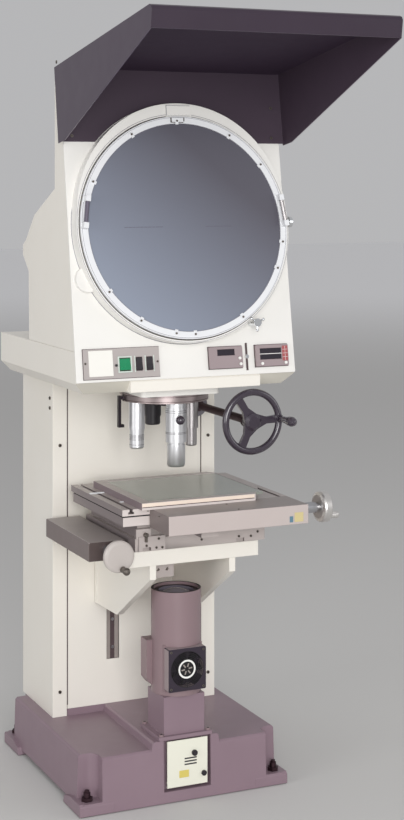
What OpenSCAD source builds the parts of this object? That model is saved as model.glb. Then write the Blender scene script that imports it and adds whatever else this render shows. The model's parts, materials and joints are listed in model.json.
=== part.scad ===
// Floor-standing profile projector (optical comparator) with a 500 mm screen.
// X is to the right, the front faces -Y, Z is up, millimetres.
// The origin is the centre of the base's footprint on the floor.

/* [Base casting] */
// Width of the base over its walls
base_w = 522; // [500:2:560]
// Depth of the base over its walls
base_d = 574; // [560:2:600]
// Height of the base's side deck
base_h = 132; // [120:1:140]
// Height of the raised centre deck above the side decks
deck_rise = 18; // [12:1:24]
// How far the feet stand out from the side walls
foot_out = 10; // [6:1:14]

/* [Column] */
// Outside width of the column
col_w = 448; // [440:2:456]
// Y of the column's front face
col_front = 37; // [34:1:40]
// Y of the column's rear face
col_rear = 274; // [270:1:280]
// Height of the column's top, where the head sits
col_top = 984; // [980:1:988]

/* [Projector head] */
// Outside width of the head
head_w = 570; // [560:2:580]
// Y of the head's front face at its lower edge
face_y = -303; // [-306:1:-300]
// Height of the front face's lower edge
face_z = 1014; // [1010:1:1018]
// Backward lean of the front face in degrees
lean = 9.06; // [8.5:0.02:9.5]
// Visible diameter of the screen glass
screen_d = 500; // [490:2:504]
// Distance of the screen's centre up the front face
screen_s = 357; // [355:1:359]

/* [Hood] */
// Outside width of the hood
hood_w = 597; // [594:1:602]
// Reach of the hood in front of the head's face
hood_reach = 604; // [560:2:620]
// Distance of the hood's roof up the front face
hood_s = 747; // [740:1:752]
// Sheet thickness of the hood
hood_t = 2.5; // [2:0.5:3]

/* [Stage] */
// Height of the knee's top face
knee_z = 617; // [612:1:620]
// Height of the table's top face
table_z = 722; // [720:1:724]
// Length of the table along X
table_l = 426; // [420:2:440]

/* [Optics] */
// Y of the vertical optical axis, which stands at X = 0
axis_y = -224; // [-226:1:-222]
// Radius of the circle on which the turret carries its lenses
turret_r = 73; // [70:1:75]
// Outside diameter of the lamp housing
lamp_d = 121; // [118:1:124]
// Height of the lamp housing's rim
lamp_top = 498; // [490:1:500]

/* [Handwheel] */
// Outside diameter of the knee handwheel
wheel_d = 160; // [150:1:164]

/* [Hidden] */
$fn = 96;
eps = 0.01;
cream = "#e9e6da";
mauve = "#93808a";
stage_grey = "#a89fa2";
dark = "#2c2830";
steel = "#b9bcc0";
chrome = "#dfe3e6";
white = "#f2f2ee";

deck_z = base_h + deck_rise;
turret_y = axis_y + turret_r;
// Running gap between a round piece and the bore that it turns in
run_gap = 0.08;
// Standing gap between sliding bodies
slide_gap = 0.4;
wheel_x = 169;
wheel_y = -300;
wheel_z = 898;
screw_y = 150;
mitre_r = 20;
table_x0 = -190;
table_x1 = table_x0 + table_l;
y_screw_x = -202;
y_screw_z = 618;
x_screw_y = -407;
x_screw_z = 701;
wall = 4;
panel_t = 4;

// A block given by its low and high limit along each axis
module span(x, y, z) {
    translate([x[0], y[0], z[0]])
        cube([x[1] - x[0], y[1] - y[0], z[1] - z[0]]);
}

// A (Y, Z) outline drawn out along X
module along_x(x0, x1) {
    translate([x0, 0, 0])
        rotate([90, 0, 90])
            linear_extrude(x1 - x0)
                children();
}

// An (X, Z) outline drawn out along Y
module along_y(y0, y1) {
    translate([0, y1, 0])
        rotate([90, 0, 0])
            linear_extrude(y1 - y0)
                children();
}

// A round bar along -Y whose front end is at y0
module rod_y(x, z, r, y0, y1) {
    translate([x, y1, z])
        rotate([90, 0, 0])
            cylinder(r = r, h = y1 - y0);
}

// A round bar along X
module rod_x(y, z, r, x0, x1) {
    translate([x0, y, z])
        rotate([0, 90, 0])
            cylinder(r = r, h = x1 - x0);
}

// Left and right copies
module both_sides() {
    children();
    mirror([1, 0, 0])
        children();
}

// A rectangle with round corners, centred
module round_rect(w, d, r) {
    square([w - 2 * r, d], center = true);
    square([w, d - 2 * r], center = true);
    for (sx = [-1, 1], sy = [-1, 1])
        translate([sx * (w / 2 - r), sy * (d / 2 - r)])
            circle(r = r);
}

// Places children on the leaning front face: x across, y up the face, z outwards
module on_face(x = 0, s = 0, out = 0) {
    translate([x, face_y + s * sin(lean) - out * cos(lean), face_z + s * cos(lean) + out * sin(lean)])
        rotate([90 - lean, 0, 0])
            children();
}

// Y of the leaning face at a height, and of the rear side of its panel
function face_y_at(z) = face_y + (z - face_z) * tan(lean);
function back_y_at(z) = face_y_at(z) + panel_t / cos(lean);

// Base

foot_x = 214;
foot_y = 238;
foot_h = 30;
bolt_x = 244;
bolt_y = 262;
floor_gap = 2;

module notch_plan() {
    notch_r = 24;
    translate([foot_x + notch_r, foot_y + notch_r])
        circle(r = notch_r);
    translate([foot_x + notch_r, foot_y])
        square([80, 80]);
    translate([foot_x, foot_y + notch_r])
        square([80, 80]);
}

module corners() {
    for (sx = [0, 1], sy = [0, 1])
        mirror([sx, 0, 0])
            mirror([0, sy, 0])
                children();
}

module base_body() {
    draft = 4;
    edge = 5;
    intersection() {
        along_y(-base_d / 2 - 5, base_d / 2 + 5)
            polygon([[-base_w / 2, 0], [base_w / 2, 0], [base_w / 2 - draft, base_h - edge],
                [base_w / 2 - draft - edge, base_h], [-base_w / 2 + draft + edge, base_h],
                [-base_w / 2 + draft, base_h - edge]]);
        along_x(-base_w / 2 - 5, base_w / 2 + 5)
            polygon([[-base_d / 2, floor_gap], [base_d / 2, floor_gap], [base_d / 2 - draft, base_h - edge],
                [base_d / 2 - draft - edge, base_h], [-base_d / 2 + draft + edge, base_h],
                [-base_d / 2 + draft, base_h - edge]]);
    }
}

module base_foot() {
    foot_end = 172;
    along_x(foot_x - 30, base_w / 2 + foot_out)
        polygon([[foot_end, floor_gap], [base_d / 2, floor_gap], [base_d / 2, foot_h - 6],
            [base_d / 2 - 6, foot_h], [foot_y - 20, foot_h], [foot_end + 6, foot_h - 10]]);
}

module base_casting() {
    arch_h = 14;
    pocket_x = [-57, 65];
    color(mauve)
    difference() {
        union() {
            difference() {
                base_body();
                corners()
                    translate([0, 0, foot_h])
                        linear_extrude(base_h)
                            notch_plan();
            }
            corners()
                intersection() {
                    base_foot();
                    translate([0, 0, -1])
                        linear_extrude(foot_h + 2)
                            square([base_w / 2 + foot_out, base_d / 2]);
                }
            // Raised centre deck that the lamp housing and the column stand on
            along_y(-base_d / 2 + 4, col_front + 2)
                polygon([[-90, base_h - 8], [90, base_h - 8], [86, deck_z - 4], [82, deck_z],
                    [-82, deck_z], [-86, deck_z - 4]]);
            span([-185, 185], [col_front + 1.5, 252], [base_h - 8, deck_z]);
        }
        // Hollow underside with two cross ribs
        difference() {
            span([-236, 236], [-260, 260], [-1, base_h - 20]);
            corners()
                span([192, 240], [216, 264], [-2, base_h]);
            for (y = [-90, 90])
                span([-240, 240], [y - 8, y + 8], [20, base_h]);
        }
        // Low arches between the feet on both sides
        span([-300, 300], [-172, 172], [-1, arch_h]);
        // Recess for the terminal panel, open under the lamp's flange
        span(pocket_x, [-base_d / 2 - 5, -266], [28, deck_z + 1]);
        // Holes and counterbores of the levelling bolts
        corners() {
            translate([bolt_x, bolt_y, -1])
                cylinder(r = 8.4, h = foot_h + 4);
            translate([bolt_x, bolt_y, -1])
                cylinder(r = 21, h = 10);
        }
        // Cable holes up to the lamp and to the column
        translate([0, axis_y, 100])
            cylinder(r = 20, h = 80);
        translate([-120, 110, 100])
            cylinder(r = 22, h = 80);
    }
}

module levelling_feet() {
    color(dark)
    corners()
        translate([bolt_x, bolt_y, 0]) {
            cylinder(r = 19, h = 7.5);
            cylinder(r = 8, h = 50);
            translate([0, 0, foot_h + 0.5])
                cylinder(r = 14, h = 8, $fn = 6);
            translate([0, 0, 50])
                cylinder(r = 6, h = 5, $fn = 6);
        }
}

module terminal_panel() {
    plate_x = [-48, 57];
    plate_z = [35, 146];
    front = -base_d / 2 + 4;
    color(white)
    difference() {
        union() {
            span(plate_x, [front, front + 3], plate_z);
            for (x = [plate_x[0] + 8, plate_x[1] - 8], z = [plate_z[0] + 8, plate_z[1] - 8])
                rod_y(x, z, 4, front + 2, -266);
        }
        for (z = [100, 93, 86])
            span([-3, 29], [front - 1, front + 1.6], [z - 1.8, z + 1.8]);
    }
    // Three dark vent bars and two round fuse caps
    color(dark) {
        for (z = [100, 93, 86])
            span([-3, 29], [front + 0.6, front + 1.6], [z - 1.8, z + 1.8]);
        rod_y(22, 112, 7, front - 6, front + 1);
        rod_y(22, 112, 5, front - 8, front - 6);
        rod_y(47, 60, 6.5, front - 5, front + 1);
    }
}

// Column

flange_w = 38;
bearing_r = 16.5;
panel_half = 184.5;
slot_x = [44, 79];

module column_sides() {
    color(cream)
    both_sides() {
        span([col_w / 2 - 3, col_w / 2], [col_front, col_rear], [base_h, col_top]);
        span([col_w / 2 - flange_w, col_w / 2], [col_front, col_front + 3], [base_h, col_top]);
        span([col_w / 2 - flange_w, col_w / 2 - flange_w + 3], [col_front, col_front + 18],
            [base_h, col_top]);
        span([col_w / 2 - 24, col_w / 2], [col_rear - 3, col_rear], [base_h, col_top]);
    }
}

module column_front_panel() {
    slot_z = [262, 668];
    color(cream)
    difference() {
        union() {
            span([-panel_half, panel_half], [col_front + 1, col_front + 4], [deck_z, col_top]);
            both_sides()
                span([panel_half - 3, panel_half], [col_front + 1, col_front + 16], [deck_z, col_top]);
        }
        both_sides()
            span(slot_x, [col_front - 1, col_front + 8], slot_z);
        rod_y(wheel_x, wheel_z, bearing_r + 0.1, col_front - 1, col_front + 20);
    }
}

module column_rear_cover() {
    color(cream)
    difference() {
        span([-199.5, 199.5], [col_rear - 3, col_rear], [base_h + 1, col_top]);
        for (z = [220 : 22 : 374], x = [-110, 0, 110])
            span([x - 40, x + 40], [col_rear - 5, col_rear + 1], [z, z + 7]);
    }
}

module column_backbone() {
    color("#6f6c70")
    difference() {
        union() {
            span([-150, 150], [190, 204], [deck_z, col_top - 1]);
            both_sides()
                span([136, 150], [150, 258], [deck_z, col_top - 1]);
            span([-180, 180], [118, 258], [deck_z, deck_z + 16]);
        }
        // Lightening holes in the rail plate
        for (z = [300, 500, 700])
            rod_y(0, z, 45, 180, 210);
        // Clearance round the cross shaft's outer gear
        rod_x(screw_y, wheel_z, 26, 130, 156);
        // Clearance for the leadscrew's lower bearing
        translate([0, screw_y, deck_z - 1])
            cylinder(r = 30, h = 30);
    }
}

rail_x = 61.5;
rail_z = [deck_z + 20, 860];

module guide_rails() {
    color(steel)
    both_sides()
        difference() {
            union() {
                span([rail_x - 11.5, rail_x + 11.5], [172, 190], rail_z);
                span([rail_x - 9, rail_x + 9], [164, 173], rail_z);
                span([rail_x - 11.5, rail_x + 11.5], [156, 164.5], rail_z);
            }
            for (z = [rail_z[0] + 30 : 60 : rail_z[1] - 20])
                rod_y(rail_x, z, 7, 150, 162);
        }
}

// Drive of the knee: handwheel shaft, cross shaft and leadscrew with mitre gears

module drive_bearings() {
    color("#77747a") {
        // Lower bearing of the leadscrew
        difference() {
            translate([0, screw_y, deck_z])
                cylinder(r = 26, h = 24);
            translate([0, screw_y, deck_z + 6])
                cylinder(r = 9 + run_gap, h = 30);
        }
        // Upper bearing of the leadscrew on the rail plate
        difference() {
            union() {
                translate([0, screw_y, 815])
                    cylinder(r = 24, h = 26);
                span([-24, 24], [screw_y, 190], [815, 841]);
            }
            translate([0, screw_y, 810])
                cylinder(r = 9 + run_gap, h = 40);
        }
        // Two bearings of the cross shaft on the rail plate
        for (x = [56, 104])
            difference() {
                union() {
                    rod_x(screw_y, wheel_z, 20, x, x + 16);
                    span([x, x + 16], [screw_y, 190], [wheel_z - 20, wheel_z + 20]);
                }
                rod_x(screw_y, wheel_z, 8 + run_gap, x - 1, x + 17);
            }
    }
    // Flanged bearing of the handwheel shaft in the front panel
    color(dark)
    difference() {
        union() {
            rod_y(wheel_x, wheel_z, 30, col_front - 9, col_front);
            rod_y(wheel_x, wheel_z, bearing_r, col_front - 1, col_front + 50);
        }
        rod_y(wheel_x, wheel_z, 10 + run_gap, col_front - 20, col_front + 60);
    }
}

// A mitre gear as its tooth body: the pitch cone's frustum with a hub, apex at the origin, along +Z
module mitre_gear(teeth = 20) {
    face = 11;
    gap = 0.6;
    difference() {
        union() {
            translate([0, 0, mitre_r - face])
                cylinder(r1 = mitre_r - face - gap, r2 = mitre_r - gap, h = face);
            translate([0, 0, mitre_r])
                cylinder(r1 = mitre_r - gap, r2 = mitre_r - 5, h = 4);
            translate([0, 0, mitre_r + 3])
                cylinder(r = 13, h = 9);
        }
        translate([0, 0, mitre_r - face - 1])
            cylinder(r1 = mitre_r - face - 5, r2 = mitre_r - face - 7, h = 3);
    }
}

module z_leadscrew() {
    thread_r = 12;
    color(steel) {
        translate([0, screw_y, deck_z + 7])
            cylinder(r = 9, h = 20);
        translate([0, screw_y, deck_z + 26])
            cylinder(r = thread_r, h = 812 - deck_z - 26);
        translate([0, screw_y, 811])
            cylinder(r = 9, h = wheel_z - mitre_r - 11 - 811 + 2);
        translate([0, screw_y, wheel_z])
            rotate([180, 0, 0])
                mitre_gear();
    }
}

module cross_shaft() {
    color(steel) {
        rod_x(screw_y, wheel_z, 8, mitre_r + 5, wheel_x - mitre_r - 5);
        translate([0, screw_y, wheel_z])
            rotate([0, 90, 0])
                mitre_gear();
        translate([wheel_x, screw_y, wheel_z])
            rotate([0, -90, 0])
                mitre_gear();
    }
}

module handwheel_shaft() {
    color(steel) {
        rod_y(wheel_x, wheel_z, 10, wheel_y - 4, screw_y - mitre_r - 5);
        translate([wheel_x, screw_y, wheel_z])
            rotate([90, 0, 0])
                mitre_gear();
        // Collar behind the wheel
        rod_y(wheel_x, wheel_z, 17, wheel_y + 14, wheel_y + 34);
        rod_y(wheel_x, wheel_z, 15, col_front - 22, col_front - 9.6);
    }
}

rim_r = 8.5;

module handwheel() {
    rim_c = wheel_d / 2 - rim_r;
    color(dark)
    translate([wheel_x, wheel_y, wheel_z])
        rotate([90, 0, 0])
            difference() {
                union() {
                    rotate_extrude()
                        translate([rim_c, 0])
                            circle(r = rim_r, $fn = 32);
                    translate([0, 0, -13])
                        cylinder(r = 21, h = 20);
                    translate([0, 0, 7])
                        cylinder(r1 = 21, r2 = 15, h = 4);
                    // Three spokes that widen into the hub
                    for (a = [0, 120, 240])
                        rotate([0, 0, a + 4])
                            translate([0, 0, -4.5])
                                linear_extrude(9)
                                    polygon([[12, -18], [36, -8.5], [rim_c - 2, -10], [rim_c - 2, 10],
                                        [36, 8.5], [12, 18]]);
                    // Boss of the grip's pin on the rim, at three o'clock
                    rotate([0, 0, 4])
                        translate([rim_c, 0, 0])
                            cylinder(r = 9.5, h = 11);
                }
                translate([0, 0, -20])
                    cylinder(r = 10, h = 24.01);
            }
}

grip_angle = 4;

module wheel_grip_place() {
    rim_c = wheel_d / 2 - rim_r;
    translate([wheel_x + rim_c * cos(grip_angle), wheel_y, wheel_z + rim_c * sin(grip_angle)])
        rotate([90, 0, 0])
            children();
}

module handwheel_grip() {
    color(dark)
    wheel_grip_place()
        translate([0, 0, 11.5])
            rotate_extrude()
                polygon([[0, 0], [7, 0], [8.5, 5], [7.5, 14], [9.5, 34], [12, 50], [12, 60],
                    [9.5, 67], [5, 71], [0, 72]]);
}

// Lamp house

pedestal_top = 250;

module lamp_housing() {
    r = lamp_d / 2;
    duct_z = [267, 375];
    color(mauve)
    difference() {
        union() {
            translate([0, axis_y, pedestal_top])
                cylinder(r = r, h = lamp_top - pedestal_top);
            // Cable duct on the rear left, with its lower edge cut back
            along_y(axis_y + 6, axis_y + 44)
                polygon([[-40, duct_z[0]], [-62, duct_z[0]], [-74, duct_z[0] + 14], [-74, duct_z[1]],
                    [-40, duct_z[1]]]);
            // Flat seat of the fan
            span([-50, 50], [fan_y + fan_depth, axis_y], [fan_z - 56, fan_z + 55]);
        }
        translate([0, axis_y, pedestal_top - 1])
            cylinder(r = r - 6, h = lamp_top);
        // Recess that the fan's frame is let into
        span([-fan_half - 0.3, fan_half + 0.3], [fan_y - 10, fan_y + fan_depth],
            [fan_z - fan_half - 2.3, fan_z + fan_half + 2.3]);
        // Mouth in the front wall for the fan's air
        span([-42, 42], [fan_y + fan_depth - 1, axis_y - 20], [fan_z - 42, fan_z + 42]);
    }
}

module lamp_pedestal() {
    color(mauve)
    difference() {
        union() {
            // Flange on the base's centre deck
            span([-69, 69], [axis_y - 60, axis_y + 60], [deck_z, deck_z + 9]);
            span([-53, 53], [axis_y - 50, axis_y + 50], [deck_z + 8, pedestal_top]);
        }
        translate([0, axis_y, deck_z - 1])
            cylinder(r = 20, h = 200);
        for (x = [-61, 61], y = [-52, 52])
            translate([x, axis_y + y, deck_z - 1])
                cylinder(r = 4.5, h = 12);
    }
}

module condenser_lens() {
    color("#a9c4cc")
    translate([0, axis_y, lamp_top - 15]) {
        // Retaining ring
        difference() {
            cylinder(r = lamp_d / 2 - 6, h = 8);
            translate([0, 0, -1])
                cylinder(r = 44, h = 12);
        }
        // Plano-convex lens in the ring
        translate([0, 0, -2])
            intersection() {
                cylinder(r = 44, h = 16);
                translate([0, 0, -64])
                    sphere(r = 78);
            }
    }
}

module lamp_bulb() {
    color("#8d8d8d") {
        translate([0, axis_y, pedestal_top])
            cylinder(r = 30, h = 12);
        translate([0, axis_y, pedestal_top + 10])
            cylinder(r = 16, h = 54);
    }
    color(white)
    translate([0, axis_y, pedestal_top + 63])
        rotate_extrude()
            polygon([[0, 0], [9, 0], [10, 6], [14, 22], [15, 34], [13, 44], [8, 51], [0, 54]]);
}

fan_z = 316;
fan_y = -292;
fan_half = 49;
fan_depth = 26;
fan_hub_r = 21;
fan_bore_r = 43;

module fan_frame() {
    depth = fan_depth;
    color(dark)
    translate([0, fan_y, fan_z])
        rotate([90, 0, 0])
            difference() {
                translate([0, 0, -depth])
                    linear_extrude(depth)
                        round_rect(2 * fan_half, 2 * fan_half + 4, 4);
                translate([0, 0, -depth + 5])
                    cylinder(r = fan_bore_r, h = depth);
                // Rear opening with the motor's seat and three struts
                difference() {
                    translate([0, 0, -depth - 1])
                        cylinder(r = fan_bore_r - 2, h = 7);
                    translate([0, 0, -depth - 2])
                        cylinder(r = 17, h = 9);
                    for (a = [30, 150, 270])
                        rotate([0, 0, a])
                            translate([0, -4, -depth - 2])
                                cube([fan_bore_r, 8, 9]);
                }
                for (x = [-42, 42], y = [-44, 44])
                    translate([x, y, -depth - 1])
                        cylinder(r = 2.2, h = depth + 2);
            }
}

module fan_rotor() {
    blades = 7;
    color("#1e1b22")
    translate([0, fan_y, fan_z])
        rotate([90, 0, 0])
            translate([0, 0, -20.4]) {
                cylinder(r = fan_hub_r, h = 17);
                // Bright ring on the hub's face
                translate([0, 0, 16.9])
                    difference() {
                        cylinder(r = fan_hub_r + 1.5, h = 2);
                        translate([0, 0, -1])
                            cylinder(r = fan_hub_r - 3, h = 4);
                    }
                for (i = [0 : blades - 1])
                    rotate([0, 0, i * 360 / blades])
                        translate([fan_hub_r - 2, 0, 8])
                            rotate([38, 0, 0])
                                translate([0, -1, -8])
                                    cube([fan_bore_r - fan_hub_r - 0.6, 2, 16]);
            }
}

// Knee

bracket_x = [95, 111];
bracket_front = -325;
knee_under = knee_z - 36;
knee_half = 170;

module knee_carriage() {
    z0 = 425;
    z1 = 600;
    color("#7c797f")
    difference() {
        union() {
            span([-112, 112], [104, 124], [z0, z1]);
            // Arms through the column's two slots
            both_sides()
                span([50, 73], [35, 106], [z0 + 5, z1 - 20]);
            // Dust strips that close the slots under the arms, with their screws
            both_sides() {
                span([50, 73], [44, 47], [248, z0 + 20]);
                for (z = [291, 362])
                    rod_y(rail_x, z, 4, 41.5, 45);
            }
            // Runner blocks that grip the rails
            both_sides()
                for (z = [z0 + 4, z1 - 54])
                    span([rail_x - 24, rail_x + 24], [122, 184], [z, z + 50]);
            // Leadscrew nut
            span([-24, 24], [122, 175], [490, 530]);
        }
        both_sides() {
            span([rail_x - 11.5 - slide_gap, rail_x + 11.5 + slide_gap],
                [156 - slide_gap, 164.5 + slide_gap],
                [z0 - 1, z1 + 1]);
            span([rail_x - 9 - slide_gap, rail_x + 9 + slide_gap], [160, 180], [z0 - 1, z1 + 1]);
            span([rail_x - 11.5 - slide_gap, rail_x + 11.5 + slide_gap], [172 - slide_gap, 200],
                [z0 - 1, z1 + 1]);
        }
        translate([0, screw_y, z0 - 1])
            cylinder(r = 12 + run_gap, h = 200);
    }
}

module knee_brackets() {
    back_y = [20, 35];
    color(cream) {
        // Back plate in front of the column
        span([-112, 112], back_y, [412, knee_under]);
        both_sides()
            along_x(bracket_x[0], bracket_x[1])
                polygon([[back_y[0] + 1, 412], [-115, 416], [bracket_front, 547],
                    [bracket_front, knee_under],
                    [back_y[0] + 1, knee_under]]);
        // Cross plate with two holes at the left front
        difference() {
            span([-96, -40], [-302, -290], [545, knee_under]);
            for (x = [-80, -57])
                rod_y(x, 564, 4, -320, -280);
        }
    }
}

module knee_top_plate() {
    color(cream)
    difference() {
        union() {
            span([-knee_half, knee_half], [-330, 30], [knee_under, knee_z]);
            // Two ways for the saddle
            both_sides()
                span([112, 132], [-326, -8], [knee_z - 1, knee_z + 9]);
        }
        translate([0, axis_y, knee_under - 1])
            cylinder(r = light_r + 8, h = 60);
    }
}

module y_cover() {
    color("#8a8286")
    difference() {
        span([-250, -160], [-290, 14], [595, 640]);
        // Its inner side stands against the knee plate
        span([-knee_half, -100], [-340, 40], [570, knee_z]);
        // Hollow, open towards the saddle
        span([-246, -150], [-272, 2], [611, 636]);
        span([-230, -176], [-272, 2], [601, 620]);
        rod_y(y_screw_x, y_screw_z, 9 + run_gap, -300, 20);
    }
}

module crank_disc(r, thick) {
    // Domed disc with its front face at Z = thick
    rotate_extrude()
        polygon([[0, 0], [r - 9, 0], [r - 2, 3], [r, 7], [r, thick - 4], [r - 3, thick - 1],
            [r - 8, thick], [0, thick]]);
}

crank_r = 37;
crank_pin_r = 28;
y_disc_y = -346;

module y_screw() {
    color(steel) {
        rod_y(y_screw_x, y_screw_z, 9, y_disc_y, 10);
        rod_y(y_screw_x, y_screw_z, 14, y_disc_y + 6, -290.5);
    }
}

module y_handle() {
    color("#c9c4c0")
    translate([y_screw_x, y_disc_y, y_screw_z])
        rotate([90, 0, 0]) {
            crank_disc(crank_r, 19);
            rotate([0, 0, -80])
                translate([crank_pin_r, 0, 0])
                    cylinder(r = 4, h = 22);
        }
}

module crank_grip() {
    rotate_extrude()
        polygon([[0, 0], [6, 0], [7.5, 4], [6.5, 10], [8.5, 22], [8.5, 28], [6, 32], [0, 33]]);
}

module y_handle_grip() {
    color("#4a4543")
    translate([y_screw_x, y_disc_y, y_screw_z])
        rotate([90, 0, 0])
            rotate([0, 0, -80])
                translate([crank_pin_r, 0, 22.5])
                    crank_grip();
}

// Saddle and table

saddle_y = [-330, -4];
saddle_z = [knee_z + slide_gap, 647];
block_z = [646, 681];
light_r = 62;

// The light path, longer along Y by the saddle's travel
module light_slot(z0, h, back, front) {
    for (y = [axis_y - back, axis_y + front])
        translate([0, y, z0])
            cylinder(r = light_r, h = h);
    span([-light_r, light_r], [axis_y - back, axis_y + front], [z0, z0 + h]);
}

module saddle() {
    color(stage_grey)
    difference() {
        union() {
            span([-150, 187], saddle_y, saddle_z);
            // Upper block that carries the cross ways
            span([-140, 180], [-318, -14], block_z);
            // End plate and clamp bracket at the left of the front
            span([-142, -75], [-334, -329], [618, 652]);
            span([-148, -110], [-331, -317], [646.5, 670]);
            // Arm to the nut of the Y screw
            span([-190, -149], [-165, -131], [620, 634]);
            span([y_screw_x - 17, y_screw_x + 17], [-165, -131], [602, 634]);
            // Arm to the nut of the X screw, under its cover
            span([-22, 22], [-422, -316], [657, 671]);
            span([-16, 16], [-422, -392], [670, 714]);
        }
        // Ways of the knee and the light path
        both_sides()
            span([112 - slide_gap, 132 + slide_gap], [-400, 20], [knee_z - 2, knee_z + 9 + slide_gap]);
        light_slot(600, 100, 30, 65);
        rod_y(y_screw_x, y_screw_z, 9 + run_gap, -170, -120);
        rod_x(x_screw_y, x_screw_z, 9 + run_gap, -30, 30);
    }
}

module table_slide() {
    color(stage_grey)
    difference() {
        union() {
            span([table_x0 + 4, table_x1 - 4], [-344, -8], [681 + slide_gap, 703]);
            // Narrower strip that leaves the dark gap under the table
            span([table_x0 + 14, table_x1 - 14], [-334, -16], [702, 707]);
        }
        span([-118, 164], [-326, -84], [670, 720]);
    }
}

insert_top = 738;
glass_x = [-126, 172];
glass_y = [-352, -80];

module table_top() {
    color(stage_grey)
    difference() {
        union() {
            span([table_x0, table_x1], [-350, -4], [707, table_z]);
            // Raised frame of the glass, with two corners cut
            translate([0, 0, table_z - 1])
                linear_extrude(insert_top - table_z + 1)
                    polygon([[-150, -372], [142, -372], [195, -277], [195, -106], [158, -56], [-150, -56]]);
        }
        // The frame's overhang rests on the cover in front
        span([-400, 400], [-400, -350], [700, table_z]);
        // Rebate and window of the glass
        span([glass_x[0], glass_x[1]], [glass_y[0], glass_y[1]], [insert_top - 6, insert_top + 5]);
        span([glass_x[0] + 12, glass_x[1] - 12], [glass_y[0] + 32, glass_y[1] - 10], [700, insert_top + 5]);
        // Clamp slots on both sides of the glass
        for (x = [-168, 216]) {
            span([x - 4, x + 4], [-400, 10], [715, table_z + 1]);
            span([x - 7, x + 7], [-400, 10], [711, 716]);
        }
        // Tapped fixture holes
        for (x = [-182, 228], y = [-320, -30])
            translate([x, y, 700])
                cylinder(r = 2.5, h = 30);
    }
}

module stage_glass() {
    color("#9fb0a4")
    span([glass_x[0] + 0.1, glass_x[1] - 0.1], [glass_y[0] + 0.1, glass_y[1] - 0.1],
        [insert_top - 6, insert_top - 0.4]);
}

cover_x = [-122, 236];
cover_y = [-463, -350];
cover_z = [677, table_z];

module x_cover() {
    color(stage_grey)
    difference() {
        span(cover_x, cover_y, cover_z);
        span([cover_x[0] + 4, cover_x[1] - 4], [cover_y[0] + 4, cover_y[1] - 4],
            [cover_z[0] - 1, cover_z[1] - 4]);
        rod_x(x_screw_y, x_screw_z, 9 + run_gap, 200, 240);
    }
}

x_disc_x = 290;

module x_screw() {
    color(steel) {
        rod_x(x_screw_y, x_screw_z, 9, cover_x[0] + 8, x_disc_x);
        rod_x(x_screw_y, x_screw_z, 13, cover_x[1] + 0.5, x_disc_x - 6);
    }
}

module x_handle() {
    color("#c9c4c0")
    translate([x_disc_x, x_screw_y, x_screw_z])
        rotate([0, 90, 0]) {
            crank_disc(crank_r, 25);
            rotate([0, 0, 15])
                translate([25, 0, 0])
                    cylinder(r = 4, h = 28);
        }
}

module x_handle_grip() {
    color("#b7b2ad")
    translate([x_disc_x, x_screw_y, x_screw_z])
        rotate([0, 90, 0])
            rotate([0, 0, 15])
                translate([25, 0, 28.5])
                    crank_grip();
}

// Head

box_top = 1085;
shell_top = 1750;
hw = head_w / 2;

// Outline of the lower box seen from the side; inset shrinks it for the hollow
module box_side(inset = 0) {
    polygon([[back_y_at(1014 + inset) + inset, 1014 + inset], [-276 + inset, 985 + inset],
        [272 - inset, 985 + inset], [272 - inset, box_top - inset],
        [back_y_at(box_top - inset) + inset, box_top - inset]]);
}

module box_front(inset = 0) {
    cut = 26;
    polygon([[-hw + cut, 985 + inset], [hw - cut, 985 + inset], [hw - inset, 985 + cut], [hw - inset, 1100],
        [-hw + inset, 1100], [-hw + inset, 985 + cut]]);
}

module head_lower_box() {
    color(cream)
    difference() {
        union() {
            intersection() {
                along_x(-hw, hw)
                    box_side();
                along_y(-400, 400)
                    box_front();
            }
            // Pad under the front edge, over the chamfer
            along_x(-150, 189)
                polygon([[-302, 985], [-270, 985], [-270, 1000], [face_y_at(1014) + 5, 1014],
                    [face_y_at(1010) + 1, 1010]]);
        }
        intersection() {
            along_x(-hw + wall, hw - wall)
                box_side(wall);
            along_y(-400, 400)
                box_front(wall);
        }
        // Open into the shell above, and behind the front panel
        span([-hw + 12, hw - 12], [-268, 34], [box_top - 10, box_top + 10]);
        on_face(0, 40, -2)
            cube([head_w - 30, 56, 24], center = true);
        // Hole over the lens
        translate([0, axis_y, 900])
            cylinder(r = 30, h = 100);
        // Cable hole over the column
        translate([-150, 150, 970])
            cylinder(r = 25, h = 30);
    }
}

module head_shell() {
    color(cream)
    difference() {
        along_x(-hw, hw)
            polygon([[back_y_at(box_top), box_top], [back_y_at(shell_top), shell_top],
                [-150, shell_top],
                [-150, 1464], [2, 1398], [68, 1334], [90, 1322], [92, 1296], [46, 1256], [42, box_top]]);
        along_x(-hw + wall, hw - wall)
            polygon([[-340, box_top - 1], [-230, shell_top - wall], [-154, shell_top - wall],
                [-154, 1461], [0, 1394], [66, 1330], [86, 1319], [88, 1298], [42, 1258], [38, box_top - 1]]);
    }
}

module head_front_panel() {
    color(cream)
    difference() {
        on_face(0, 0, -panel_t)
            linear_extrude(panel_t)
                translate([-hw, 0])
                    square([head_w, 744]);
        on_face(0, screen_s, -10)
            cylinder(r = screen_d / 2 + 6, h = 20);
        // Cut-out behind the switches
        on_face(-131, 39, 0)
            cube([108, 44, 20], center = true);
    }
    // Hinge strip and catch between the readouts
    color("#9a9690") {
        on_face(155, 43, 0)
            linear_extrude(2)
                square([5, 66], center = true);
        on_face(155, 43, 0)
            cylinder(r = 5, h = 5);
    }
}

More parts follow.
